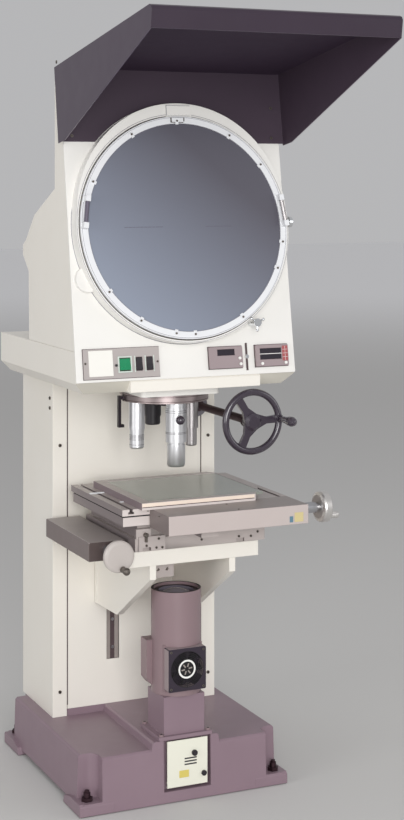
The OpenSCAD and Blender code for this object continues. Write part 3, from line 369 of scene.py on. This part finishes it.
# %% [markdown]
# ## The leaning front
# The head's front leans back by 9.06 degrees, and most trim sits on it. One function turns a place
# on that face (across, up the face, out of it, in millimetres) into a point, and one goes back.
# The screen's centre lies 357 mm up the face.

# %% Places on the leaning face
lean = math.radians(9.06)
face_foot = Vector((0, -0.303, 1.014))
face_up = Vector((0, math.sin(lean), math.cos(lean)))
face_out = Vector((0, -math.cos(lean), math.sin(lean)))


def on_face(across, up, out=0.0):
    return face_foot + Vector((across, 0, 0)) / 1000 + face_up * up / 1000 + face_out * out / 1000


def from_face(point):
    away = point - face_foot
    return away.x * 1000, away.dot(face_up) * 1000, away.dot(face_out) * 1000


screen_up = 357
ring_centre = on_face(0, screen_up)
print("screen axis at", [round(v, 3) for v in ring_centre])

# %% [markdown]
# ## Edges that catch the light
# No cast, folded or milled edge is a true corner. Each of the large solids is copied, its
# triangles are merged back into faces, and a small bevel rounds its edges, so that they catch a
# thin highlight. The bevel hardens the normals, which keeps the flat faces flat. A width of 0
# leaves the edges to the Bevel node of the finish.


# %% Copy a solid with rounded edges
same_place = 0.00002
flat_angle = math.radians(0.3)
bevel_angle = math.radians(30)
smooth_angle = math.radians(32)


def softened(node, width_mm, finish, segments=2):
    mesh = solids[node].data.copy()
    mesh.name = node + "_finished"
    work = bmesh.new()
    work.from_mesh(mesh)
    bmesh.ops.remove_doubles(work, verts=work.verts, dist=same_place)
    bmesh.ops.dissolve_limit(work, angle_limit=flat_angle, verts=work.verts, edges=work.edges)
    bmesh.ops.connect_verts_concave(work, faces=work.faces)
    work.to_mesh(mesh)
    work.free()
    piece = bpy.data.objects.new(node + "_finished", mesh)
    bpy.context.scene.collection.objects.link(piece)
    mesh.materials.clear()
    mesh.materials.append(finish)
    smooth_by_angle(piece)
    if width_mm:
        bevel = piece.modifiers.new("edges", "BEVEL")
        bevel.width = width_mm / 1000
        bevel.segments = segments
        bevel.limit_method = "ANGLE"
        bevel.angle_limit = bevel_angle
        bevel.harden_normals = True
        bpy.context.view_layer.update()
        depsgraph = bpy.context.evaluated_depsgraph_get()
        rounded = bpy.data.meshes.new_from_object(piece.evaluated_get(depsgraph))
        piece.modifiers.clear()
        piece.data = rounded
    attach(piece, body_of[node])
    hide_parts(node)
    return piece


def smooth_by_angle(piece):
    """Shades a piece smooth, apart from edges that turn by more than smooth_angle."""
    work = bmesh.new()
    work.from_mesh(piece.data)
    for one in work.faces:
        one.smooth = True
    for edge in work.edges:
        sharp = len(edge.link_faces) != 2 or edge.calc_face_angle(0) > smooth_angle
        edge.smooth = not sharp
    work.to_mesh(piece.data)
    work.free()


bodies = frame["record"]["behaviour"]["bodies"]
body_of = {name: body for body, names in bodies.items() for name in names}
print("bodies:", len(bodies))

# %% [markdown]
# ## Two finishes on one piece
# Some solids are one piece in the model but show several finishes, such as a knob on a barrel. One
# function gives another finish to each face whose corners all lie inside a region. The other picks
# the faces that look in one direction; mostly it paints light and shade, as paler and darker copies
# of one paint on the sides of a box.


# %% Second finish by region or by direction
def refinish(piece, finish, where):
    held = [where(corner.co) for corner in piece.data.vertices]
    paint_faces(piece.data, finish, lambda one: all(held[i] for i in one.vertices))


def refinish_facing(piece, finish, direction, where=lambda c: True):
    paint_faces(piece.data, finish,
                lambda one: one.normal.dot(direction) > much_alike and where(one.center))


def paint_faces(mesh, finish, chosen):
    mesh.materials.append(finish)
    index = len(mesh.materials) - 1
    for one in mesh.polygons:
        if chosen(one):
            one.material_index = index


def from_axis(point, axis_y):
    """Distance of a point from an upright axis at X 0, whose Y is given in millimetres."""
    return math.hypot(point.x, point.y - axis_y / 1000)


left, right, forward = Vector((-1, 0, 0)), Vector((1, 0, 0)), Vector((0, -1, 0))
up, back = Vector((0, 0, 1)), Vector((0, 1, 0))
much_alike = 0.9
turret_y, lens_y = -151, -224
print("turret axis at Y", turret_y, "and light path at Y", lens_y)

# %% Base, lamp house, knee and table
softened("base_casting", 3.0, casting_paint, segments=3)
softened("lamp_pedestal", 0.5, casting_paint)
barrel = softened("lamp_housing", 1.0, mauve_paint)
refinish(barrel, black_and_shade, lambda c: -0.2675 < c.y < -0.2300 and abs(c.x) < 0.0425
         and 0.2735 < c.z < 0.3585)
refinish(barrel, black_and_shade, lambda c: from_axis(c, lens_y) < 0.0505 and c.z > 0.44)
refinish(barrel, black_steel, lambda c: c.z > 0.4979)
knee_plate = softened("knee_top_plate", 1.0, cream_paint)
brackets = softened("knee_brackets", 0.0, cream_paint)
refinish(brackets, stage_paint, lambda c: -0.3025 < c.y < -0.2895 and -0.0965 < c.x < -0.0395)
saddle = softened("saddle", 0.8, stage_paint)
slide = softened("table_slide", 0.8, stage_paint)
table_top = softened("table_top", 0.0, stage_paint)
x_cover = softened("x_cover", 1.5, cover_paint)
# The left end of the X cover gets painted shade.
refinish_facing(x_cover, shade_paint, left)
# The X cover's top gets a darker copy of its paint as painted shade.
refinish_facing(x_cover, cover_top_shade_paint, up)
y_cover = softened("y_cover", 2.0, warm_grey_paint)
# The left side of the Y cover gets painted shade.
refinish_facing(y_cover, shade_paint, left)
refinish_facing(y_cover, brown_paint, forward)
# The left sides of the saddle, slide and table get painted shade.
for piece in (saddle, slide, table_top):
    refinish_facing(piece, side_paint, left)
# The fronts of the slide and table get a paler copy of their paint as painted light.
for piece in (slide, table_top):
    refinish_facing(piece, lit_front_paint, forward)
# The slide's top, in the gap under the table top, is painted near black as painted shade.
refinish(slide, black_and_shade, lambda c: c.z > 0.7025)
# The saddle's front gets a paler copy of its paint as painted light.
refinish_facing(saddle, saddle_lit_front_paint, forward)
# The glass frame's left side gets painted shade.
refinish_facing(table_top, insert_side_shade_paint, left, lambda c: c.z > 0.7225)
refinish(knee_plate, stage_paint, lambda c: 0.1115 < abs(c.x) < 0.1325 and c.z > 0.6169)
print("table and knee finished")

# %% Head, hood, column and handwheel
lower_box = softened("head_lower_box", 2.0, cream_paint)
refinish_facing(lower_box, bevel_paint, Vector((0, -0.707, -0.707)))
softened("head_shell", 1.5, cream_paint)
front_panel = softened("head_front_panel", 0.8, head_paint)
hood = softened("hood", 1.0, hood_paint)
# Painted light on the hood's left side and inner walls, painted shade on its lip and under its
# roof.
refinish_facing(hood, hood_lit_side_paint, left, lambda c: c.x < -0.297)
refinish_facing(hood, hood_lip_shade_paint, face_out, lambda c: from_face(c)[2] > 580)
refinish_facing(hood, hood_roof_shade_paint, -face_up, lambda c: from_face(c)[1] > 740)
refinish_facing(hood, hood_lit_wall_paint, face_out, lambda c: from_face(c)[2] < 10)
refinish_facing(hood, hood_lit_wall_paint, left, lambda c: c.x > 0.2)
# The hood's down-facing lower edge gets a painted highlight.
refinish_facing(hood, hood_edge_highlight_paint, Vector((0, -0.41, -0.91)), lambda c: from_face(c)[1] < 735)
softened("column_sides", 1.0, cream_paint)
softened("ring_housing", 1.2, head_paint)
softened("screen_ring", 1.0, white_paint)
softened("handwheel", 1.2, polished_black)

# %% [markdown]
# ## Panels with windows
# The control panel and both readouts are painted plates with plates, frames and smoked windows let
# into them. Their solids already have those steps, so each step gets its own finish.


# %% Control panel and readouts
def inside(point, across, up, out):
    x, s, o = from_face(point)
    return across[0] < x < across[1] and up[0] < s < up[1] and out[0] < o < out[1]


controls = softened("control_panel", 0.0, panel_paint)
refinish(controls, cream_card, lambda c: inside(c, (-255, -193), (11, 75), (3.9, 6)))
refinish(controls, bezel_abs, lambda c: inside(c, (-182.5, -145), (18, 60), (3.9, 7)))
refinish(controls, black_abs, lambda c: inside(c, (-190, -182.6), (33, 41), (3.9, 8)))
angle_panel = softened("angle_readout", 0.0, readout_and_edge_light_paint)
refinish(angle_panel, window_acrylic,
         lambda c: inside(c, (74.0, 120.0), (48.02, 61.98), (6.9, 8.1)))
position_panel = softened("position_readout", 0.0, readout_and_edge_light_paint)
refinish(position_panel, window_acrylic,
         lambda c: inside(c, (188.02, 245.98), (34.02, 60), (6.9, 8.1)))
refinish(position_panel, red_film, lambda c: inside(c, (248, 264), (28, 66), (7.95, 9)))
refinish(front_panel, gasket_and_shadow_brown, lambda c: inside(c, (149, 161), (9, 77), (0.1, 2.2)))
refinish(front_panel, bright_chrome, lambda c: inside(c, (149, 161), (37, 49), (2.3, 6)))
terminals = softened("terminal_panel", 0.4, terminal_paint)
refinish(terminals, black_abs, lambda c: c.y < -0.2831)
refinish(terminals, black_abs, lambda c: -0.2826 < c.y < -0.2812 and -0.0032 < c.x < 0.0292
         and 0.083 < c.z < 0.103)
print("panels finished")

# %% [markdown]
# ## Turret and lenses
# The turret disc is turned steel, its lenses are chromed barrels with a black ball knob on the
# front one, and its index lever and the rear lens are black.

# %% Turret, lenses and the screen's fittings
disc = softened("turret", 0.8, turned_steel)
refinish(disc, black_steel, lambda c: c.x < -0.1035 and abs(c.y - turret_y / 1000) < 0.0065)
long_lens = softened("front_lens", 0.6, satin_chrome)
refinish(long_lens, polished_black, lambda c: c.y < -0.2465 and 0.89 < c.z < 0.919)
short_lenses = softened("side_lenses", 0.6, satin_chrome)
refinish(short_lenses, black_abs, lambda c: c.y > -0.105 and abs(c.x) < 0.03)
# The right lens gets a darker chrome as painted shade.
refinish(short_lenses, dull_and_shaded_chrome, lambda c: c.x > 0.045)
pivot = softened("turret_mount", 0.8, head_paint)
refinish(pivot, black_steel, lambda c: c.z < 0.9652 and from_axis(c, turret_y) < 0.022)
mirror_set = softened("mirrors", 0.0, iron_paint)
refinish(mirror_set, front_mirror, lambda c: abs(c.x) < 0.1905)
condenser = softened("condenser_lens", 0.3, black_steel)
refinish(condenser, lens_glass, lambda c: from_axis(c, lens_y) < 0.04405)
lamp = softened("lamp_bulb", 0.3, iron_paint)
refinish(lamp, lamp_glass, lambda c: c.z > 0.3128)
fan = softened("fan_rotor", 0.2, black_and_shade)
refinish(fan, white_abs, lambda c: c.y < -0.2892)
fan_box = softened("fan_frame", 0.6, fan_paint)
# The fan frame's left and top faces get the paler readout paint as painted highlight.
refinish_facing(fan_box, readout_and_edge_light_paint, left)
refinish_facing(fan_box, readout_and_edge_light_paint, up)
grips = softened("ring_fittings", 0.3, white_paint)


def in_grip_bar(point):
    across, up_face, out = from_face(point)
    return abs(out - 54) < 5.3 and abs(across) > 240 and abs(up_face - screen_up) < 68


refinish(grips, grip_grey, in_grip_bar)
refinish(grips, dull_and_shaded_chrome, lambda c: in_grip_bar(c) and c.x > 0)
refinish(grips, dark_zinc, lambda c: 44.05 < from_face(c)[2] < 47.5)
carriage = softened("knee_carriage", 0.0, iron_paint)
refinish(carriage, ground_steel, lambda c: 0.040 < c.y < 0.0475 and c.z < 0.4452)
print("optics finished")

# %% [markdown]
# ## Small parts
# Trim such as gaskets, labels and seals is built from boxes and turned shapes, in millimetres. A
# turned shape is a list of radii and heights, spun round an axis.


# %% Boxes, turned shapes and trim
def in_room(x, y, z):
    return Vector((x, y, z)) / 1000


def cuboid(place, x, y, z):
    corners = [place(i, j, k) for i in x for j in y for k in z]
    faces = [(0, 1, 3, 2), (4, 6, 7, 5), (0, 4, 5, 1), (2, 3, 7, 6), (0, 2, 6, 4), (1, 5, 7, 3)]
    return corners, faces


def turned(centre, axis, profile, sides=48):
    """A profile of radii and heights, spun round an axis."""
    turn = axis.to_track_quat("Z", "Y")
    corners, faces = [], []
    for radius, height in profile:
        for i in range(sides):
            angle = math.tau * i / sides
            spoke = Vector((radius * math.cos(angle), radius * math.sin(angle), height)) / 1000
            corners.append(centre + turn @ spoke)
    for level in range(len(profile) - 1):
        for i in range(sides):
            j = (i + 1) % sides
            low, high = level * sides, (level + 1) * sides
            faces.append((low + i, low + j, high + j, high + i))
    return corners, faces


def washer(centre, axis, inner, outer, low, high, sides=128):
    profile = [(inner, low), (outer, low), (outer, high), (inner, high), (inner, low)]
    return turned(centre, axis, profile, sides)


def trim(name, body, finish, parts):
    work = bmesh.new()
    for corners, faces in parts:
        made = [work.verts.new(c) for c in corners]
        for one in faces:
            work.faces.new([made[i] for i in one])
    bmesh.ops.remove_doubles(work, verts=work.verts, dist=same_corner)
    bmesh.ops.holes_fill(work, edges=work.edges, sides=0)
    bmesh.ops.recalc_face_normals(work, faces=work.faces)
    mesh = bpy.data.meshes.new(name)
    work.to_mesh(mesh)
    work.free()
    mesh.materials.append(finish)
    piece = bpy.data.objects.new(name, mesh)
    bpy.context.scene.collection.objects.link(piece)
    smooth_by_angle(piece)
    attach(piece, body)
    trimmed.append(name)


same_corner = 0.000001
trimmed = []
print("corners of a box:", len(cuboid(in_room, (0, 1), (0, 1), (0, 1))[0]))

# %% [markdown]
# ## Trim of the screen
# A dark rubber seal lies between the ring and its housing, thin lines are cut into both, and a
# small index window sits at the top, with painted shadow round it. Grey lines round the housing's
# front edge and its foot are painted shade. Short dashes cross the glass at the level of its
# centre.

# %% Screen trim
for name, body, finish, *sizes in (
        ("ring_line", "screen", soft_grey, 265.2, 266.0, 41.6, 42.06),
        ("ring_inner_line", "screen", soft_grey, 249.95, 251.0, 41.6, 42.05),
        ("housing_seal", "stand", seal_and_shadow_rubber, 269.05, 271.4, 33.6, 34.15),
        # The grey lines round the housing's front edge and where it meets the head are painted
        # shade.
        ("housing_edge_shade", "stand", soft_grey, 274.6, 275.5, 33.9, 34.1),
        ("housing_foot_shadow", "stand", soft_grey, 276.0, 278.2, 0.02, 0.3)):
    trim(name, body, finish, [washer(ring_centre, face_out, *sizes)])
trim("index_window", "screen", white_paint, [cuboid(on_face, (-23, 8), (611, 621), (41.9, 45))])
# The dark strips round the index window are painted shadow.
trim("index_shadow", "screen", seal_and_shadow_rubber,
     [cuboid(on_face, (-25, -22.8), (609.5, 621.5), (41.9, 45.2)),
      cuboid(on_face, (7.9, 10.5), (613, 621.5), (41.9, 45.2)),
      cuboid(on_face, (-24, 8), (609.4, 611.1), (41.9, 43.2))])
vernier_marks = [(2 * i, 631 if i % 5 == 0 else 629) for i in range(-14, 15)]
trim("vernier_lines", "stand", soft_grey,
     [cuboid(on_face, (-32.5, -31.3), (628, 654), (36.9, 37.2)),
      cuboid(on_face, (-31, 30), (652, 653), (36.9, 37.2))]
     + [cuboid(on_face, (x - 0.2, x + 0.2), (626, top), (36.9, 37.1)) for x, top in vernier_marks])
trim("cross_hair", "screen", grip_grey,
     [cuboid(on_face, (x, x + 9), (356.6, 357.6), (40.9, 41.05))
      for x in (*range(-160, -60, 10), *range(50, 120, 10))])
print("trim pieces so far:", len(trimmed))

# %% [markdown]
# ## Trim of the panels
# Each plate sits on a thin dark gasket that shows as a line round it. A pale strip at the left edge
# of each rocker is a painted highlight on its bezel, and a white line parts the two windows of the
# position readout.

# %% Panel trim
trim("gaskets", "stand", gasket_and_shadow_brown,
     [cuboid(on_face, (-268.0, -75.0), (6.0, 78.0), (0.02, 1.4)),
      cuboid(on_face, (51.6, 142.4), (15.6, 70.4), (0.02, 2.0)),
      cuboid(on_face, (175.6, 266.4), (15.6, 70.4), (0.02, 2.0))])
# A pale strip at the left edge of each rocker is a painted highlight on its bezel.
trim("rocker_edge_highlights", "stand", bezel_abs,
     [cuboid(on_face, (x0, x1), (19.5, 57.5), (3.9, 4.8))
      for x0, x1 in ((-139.6, -137.4), (-113.0, -110.8), (-91.2, -89.4))])
trim("window_line", "stand", white_abs, [cuboid(on_face, (187, 247), (46.3, 47.7), (7.9, 8.3))])
trim("window_frames", "stand", gasket_and_shadow_brown,
     [cuboid(on_face, (73.2, 120.8), (61.98, 62.8), (7.9, 8.15)),
      cuboid(on_face, (73.2, 120.8), (47.2, 48.02), (7.9, 8.15)),
      cuboid(on_face, (187.2, 246.8), (60.0, 60.8), (7.9, 8.15)),
      cuboid(on_face, (187.2, 246.8), (33.2, 34.0), (7.9, 8.15))])
trim("keypad_lines", "stand", white_abs,
     [cuboid(on_face, (249.2, 262.8), (s, s + 0.8), (8.75, 8.95)) for s in (37.5, 46.6, 55.7)]
     + [cuboid(on_face, (255.6, 256.4), (30, 64), (8.75, 8.95))])
print("trim pieces so far:", len(trimmed))

# %% [markdown]
# ## Trim of the stage and the lamp
# A peach strip along the front of the glass frame is a painted highlight, with a painted shadow
# line under it; two white bars lie by the left clamp slot, and the X cover carries two small bare
# plates.
# Bands and a groove mark the dust strips in the column's slots, and a dark joint runs down each
# side of the column's panel.
# The fan hides behind a wire guard, which is a set of rings on two cross wires.

# %% Stage and lamp trim
strip_x = (-149.6, 139)
# A peach strip along the front top edge of the glass frame is a painted highlight, and the dark
# line under it is painted shadow.
trim("front_edge_highlight", "table", peach_highlight,
     [cuboid(in_room, strip_x, (-372.6, -371.8), (729.2, 737.4))])
trim("strip_shadow", "table", gasket_and_shadow_brown,
     [cuboid(in_room, strip_x, (-372.3, -371.8), (727.4, 729.2))])
# Two thin white bars by the left clamp slot.
trim("white_bars", "table", white_paint,
     [cuboid(in_room, (-189, -152), (-137, -131), (721.8, 724.6)),
      cuboid(in_room, (-160, -151), (-262, -256), (721.8, 723.8))])
trim("cover_plate", "table", straw_sheet,
     [cuboid(in_room, (199, 222), (-463.6, -462.8), (683, 705))])
trim("cover_plate_side", "table", blue_sheet,
     [cuboid(in_room, (186, 195), (-463.5, -462.8), (683, 697))])
trim("bare_plate", "stand", yellow_sheet, [cuboid(in_room, (-17, 8), (-283.6, -282.9), (56, 73))])
slot_z = (249, 426)
trim("slot_groove", "knee", gasket_and_shadow_brown,
     [cuboid(in_room, x, (43.4, 44.05), slot_z) for x in ((-67.5, -55.5), (55.5, 67.5))])
trim("slot_bands", "knee", band_grey,
     [cuboid(in_room, x, (43.0, 44.05), slot_z)
      for x in ((-78.5, -67.5), (-55.5, -44.5), (44.5, 55.5), (67.5, 78.5))])
trim("panel_joints", "stand", gasket_and_shadow_brown,
     [cuboid(in_room, x, (37.2, 38.3), (160, 980)) for x in ((-185.9, -183.6), (183.6, 185.9))])
clamp_profile = [(0.1, 0), (5.5, 0), (5.5, 9), (4, 11), (0.1, 11)]
trim("end_clamp", "saddle", worn_grey,
     [turned(in_room(-125, -331, 656), forward, clamp_profile, 24),
      cuboid(in_room, (-128, -122), (-340, -334), (640, 651))])
fan_y, fan_z = -292, 316
hub_y = -288.6
fan_face = in_room(0, fan_y, fan_z)


def fan_spoke(degrees):
    """Places on the hub's face: across and along a spoke that is turned by so many degrees."""
    turn = math.radians(degrees)

    def place(across, along, out):
        x = across * math.cos(turn) + along * math.sin(turn)
        z = along * math.cos(turn) - across * math.sin(turn)
        return in_room(x, hub_y - out, fan_z + z)
    return place


trim("fan_guard", "stand", black_abs,
     [washer(fan_face, forward, r, r + 1.1, -0.6, 0.5, 64) for r in (26, 30, 34, 38, 42)]
     + [cuboid(in_room, x, (-292.9, -291.9), (fan_z - 0.7, fan_z + 0.7))
        for x in ((-43.5, -26), (26, 43.5))]
     + [cuboid(in_room, (-0.7, 0.7), (-292.9, -291.9), z) for z in ((272.5, 290), (342, 359.5))])
trim("fan_hub_marks", "fan", band_grey,
     [cuboid(fan_spoke(60 * i + 20), (-1.6, 1.6), (5, 14), (0.1, 0.8)) for i in range(6)])
trim("fan_shade", "stand", fan_paint, [turned(fan_face, forward, [(41, -25.9), (41, -25.3)])])
turret_foot, lens_foot, left_foot = (in_room(x, y, 0) for x, y in
                                     ((0, turret_y), (0, lens_y), (-73, turret_y)))
trim("disc_lines", "turret", brown_steel,
     [washer(turret_foot, up, 107, 109.2, z, z + 1.1, 96) for z in (949.5, 961.0)])
trim("lens_grooves", "turret", black_steel,
     [washer(lens_foot, up, 24, 26.15, z, z + 0.8, 64) for z in (922.0, 926.5)]
     + [washer(lens_foot, up, 24, 25.65, z, z + 0.7, 64) for z in (871, 874)]
     + [washer(left_foot, up, 17, 18.15, z, z + 0.7, 64)
        for z in (838, 850, 853, 856, 859, 862)])
print("trim pieces:", len(trimmed))

# %% [markdown]
# ## Screw heads
# Screws repeat all over the machine, so Geometry Nodes places them. Each spot is a point that
# carries the direction that its head faces. The tree stands a head on every spot and lays a thin
# near-black hexagon on its top as painted shade of a hex recess, and each set of screws is baked
# into one plain mesh.


# %% The tree of a screw head
def screw_tree():
    tree = bpy.data.node_groups.new("screw heads", "GeometryNodeTree")
    tree.interface.new_socket("Spots", in_out="INPUT", socket_type="NodeSocketGeometry")
    for name in ("Head radius", "Head height", "Recess radius"):
        tree.interface.new_socket(name, in_out="INPUT", socket_type="NodeSocketFloat")
    for name in ("Head finish", "Recess shade"):
        tree.interface.new_socket(name, in_out="INPUT", socket_type="NodeSocketMaterial")
    tree.interface.new_socket("Screws", in_out="OUTPUT", socket_type="NodeSocketGeometry")
    given = add(tree, "NodeGroupInput").outputs
    facing = add(tree, "GeometryNodeInputNamedAttribute", {"Name": "facing"},
                 data_type="FLOAT_VECTOR")
    turn = add(tree, "FunctionNodeAlignRotationToVector", {"Vector": facing.outputs["Attribute"]},
               axis="Z")
    half = add(tree, "ShaderNodeMath", {0: given["Head height"], 1: 0.5}, operation="MULTIPLY")
    lift = add(tree, "ShaderNodeCombineXYZ", {"Z": half.outputs[0]})
    top = add(tree, "ShaderNodeCombineXYZ", {"Z": given["Head height"]})
    head = add(tree, "GeometryNodeMeshCylinder", {"Vertices": 20, "Radius": given["Head radius"],
                                                  "Depth": given["Head height"]})
    # A thin near-black hexagon on top of the head stands for a hex recess: painted shade.
    recess_shade = add(tree, "GeometryNodeMeshCylinder", {"Vertices": 6, "Radius": given["Recess radius"],
                                                    "Depth": 0.0002})
    done = []
    for shape, raised, finish in ((head, lift, "Head finish"), (recess_shade, top, "Recess shade")):
        moved = add(tree, "GeometryNodeTransform", {"Geometry": shape.outputs["Mesh"],
                                                    "Translation": raised.outputs["Vector"]})
        stood = add(tree, "GeometryNodeInstanceOnPoints",
                    {"Points": given["Spots"], "Instance": moved.outputs["Geometry"],
                     "Rotation": turn.outputs["Rotation"]})
        real = add(tree, "GeometryNodeRealizeInstances", {"Geometry": stood.outputs["Instances"]})
        painted = add(tree, "GeometryNodeSetMaterial", {"Geometry": real.outputs["Geometry"],
                                                        "Material": given[finish]})
        done.append(painted.outputs["Geometry"])
    joined = add(tree, "GeometryNodeJoinGeometry")
    for one in reversed(done):
        tree.links.new(one, joined.inputs["Geometry"])
    add(tree, "NodeGroupOutput", {"Screws": joined.outputs["Geometry"]})
    return tree


def baked(name, body, source, tree, settings):
    """Runs a node tree on a source mesh and keeps what comes out as a plain mesh."""
    piece = bpy.data.objects.new(name, source)
    bpy.context.scene.collection.objects.link(piece)
    nodes = piece.modifiers.new("nodes", "NODES")
    nodes.node_group = tree
    key_of = {item.name: item.identifier for item in tree.interface.items_tree
              if item.in_out == "INPUT"}
    for key, value in settings.items():
        nodes[key_of[key]] = value
    bpy.context.view_layer.update()
    depsgraph = bpy.context.evaluated_depsgraph_get()
    mesh = bpy.data.meshes.new_from_object(piece.evaluated_get(depsgraph))
    piece.modifiers.clear()
    mesh.name = name
    piece.data = mesh
    smooth_by_angle(piece)
    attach(piece, body)


screw_heads = screw_tree()
print("nodes in the screw tree:", len(screw_heads.nodes))


# %% Screws of each body
def screws(name, body, spots, radius, height, recess_shade, finish):
    cloud = bpy.data.meshes.new(name + "_spots")
    cloud.from_pydata([place for place, facing in spots], [], [])
    cloud.attributes.new("facing", "FLOAT_VECTOR", "POINT")
    for item, (place, facing) in zip(cloud.attributes["facing"].data, spots):
        item.vector = facing
    baked(name, body, cloud, screw_heads, {
        "Head radius": radius / 1000, "Head height": height / 1000, "Recess radius": recess_shade / 1000,
        "Head finish": finish, "Recess shade": black_and_shade})


flange = [(in_room(x, 37, z), forward) for x in (-205, 205) for z in (195, 816)]
sides = [(in_room(x, 57, z), facing) for x, facing in ((-224, left), (224, right))
         for z in (934, 909)]
rear = [(in_room(x, 274, z), back) for x in (-188, 188) for z in (170, 440, 710, 960)]
lamp_bolts = [(in_room(x, lens_y + y, 159), up) for x in (-61, 61) for y in (-52, 52)]
hood_rivets = [(on_face(side * x, s, 1.5), face_out) for side in (1, -1)
               for x, s in ((268, 658), (264, 582))]
hood_rivets += [(in_room(295.9, -192, 1764), left), (in_room(-295.9, -192, 1764), right)]
screws("column_screws", "stand", flange + sides + rear, 4.2, 2.4, 2.0, dark_zinc)
screws("lamp_flange_bolts", "stand", lamp_bolts, 6.0, 5.0, 3.2, mauve_paint)
screws("hood_rivets", "stand", hood_rivets, 4.0, 1.6, 1.2, worn_grey)
panel_spots = [(on_face(x, s, 4), face_out) for x, s in ((-262.5, 44), (-81, 42))]
screws("panel_screws", "stand", panel_spots, 2.6, 1.2, 1.2, dark_zinc)
fan_spots = [(in_room(x, fan_y, fan_z + z), forward) for x in (-42, 42) for z in (-44, 44)]
screws("fan_screws", "stand", fan_spots, 3.0, 1.2, 1.4, worn_grey)
end_plate = [(in_room(x, -334, z), forward)
             for x, z in ((-123, 631), (-98, 624.5), (-83, 624), (-92, 645))]
front_row = [(in_room(x, -330, z), forward)
             for x, z in ((118, 631), (150, 629), (168, 638), (20, 632))]
screws("saddle_screws", "saddle", end_plate + front_row, 3.0, 1.2, 1.5, dark_zinc)
knee_spots = [(in_room(x, 20, z), forward) for x in (-84, 84) for z in (430, 470, 540)]
screws("knee_screws", "knee", knee_spots, 6.0, 4.0, 3.0, dark_zinc)
table_spots = [(in_room(x, y, 722), up) for x in (-140, 60) for y in (-384, -450)]
screws("cover_screws", "table", table_spots, 2.6, 0.9, 1.2, dark_zinc)
print("screw pieces:", sum(one.name.endswith("_spots") for one in bpy.data.meshes))

# %% [markdown]
# ## Floor and light
# The floor is pale paper, and four large soft lamps light the machine: a key from the front left, a
# fill from each side and one from above. The key's spread is narrowed, so that it lights the
# machine and not the floor before it. The world adds a little of its own.


# %% Floor
def flat_sheet(name, corners, material):
    mesh = bpy.data.meshes.new(name)
    mesh.from_pydata(corners, [], [tuple(range(len(corners)))])
    mesh.materials.append(material)
    made = bpy.data.objects.new(name, mesh)
    bpy.context.scene.collection.objects.link(made)
    return made


def studio_paper():
    """Paper that grows paler far away, so that hardly an edge shows where it meets the world."""
    material, tree, shader = blank_material("studio paper")
    place = add(tree, "ShaderNodeTexCoord").outputs["Object"]
    away = add(tree, "ShaderNodeVectorMath", {0: place}, operation="LENGTH")
    far = add(tree, "ShaderNodeMapRange", {"Value": away.outputs["Value"], "From Min": 7.0,
                                           "From Max": 18.0}, interpolation_type="SMOOTHSTEP")
    tone = add(tree, "ShaderNodeMix", {0: far.outputs["Result"], 6: colour("#D2D1CF"),
                                       7: colour("#FBFBFC")}, data_type="RGBA")
    tree.links.new(tone.outputs[2], shader.inputs["Base Color"])
    shader.inputs["Roughness"].default_value = 0.9
    shader.inputs["IOR"].default_value = 1.2
    return material


paper = studio_paper()
reach = 30
floor = flat_sheet("floor", [(-reach, -reach, 0), (reach, -reach, 0), (reach, reach, 0),
                             (-reach, reach, 0)], paper)
print("floor laid")

# %% Lamps and world


def soft_lamp(name, place, target, size, power, spread=180):
    data = bpy.data.lights.new(name, "AREA")
    data.shape = "RECTANGLE"
    data.size, data.size_y = size
    data.energy = power
    data.spread = math.radians(spread)
    lamp = bpy.data.objects.new(name, data)
    bpy.context.scene.collection.objects.link(lamp)
    lamp.location = place
    aim = Vector(target) - Vector(place)
    lamp.rotation_euler = aim.to_track_quat("-Z", "Y").to_euler()


soft_lamp("key", (-1.5, -5.1, 1.75), (0, 0, 1.1), (2.6, 2.6), 58, spread=110)
soft_lamp("left fill", (-4.8, -1.8, 1.6), (0, 0, 1.0), (2.4, 2.4), 56)
soft_lamp("right fill", (3.8, -3.0, 1.8), (0, 0, 0.9), (2.4, 2.4), 30)
soft_lamp("top", (0.0, -0.6, 4.4), (0, 0, 0.8), (3.2, 3.2), 14)

world = bpy.data.worlds.new("world")
bpy.context.scene.world = world
world.use_nodes = True
world.node_tree.nodes.clear()
sky = add(world.node_tree, "ShaderNodeBackground", {"Color": colour("#F4F4F6"), "Strength": 0.52})
add(world.node_tree, "ShaderNodeOutputWorld", {"Surface": sky.outputs["Background"]})
bpy.context.scene.view_settings.view_transform = "Standard"
print("lamps:", len(bpy.data.lights))
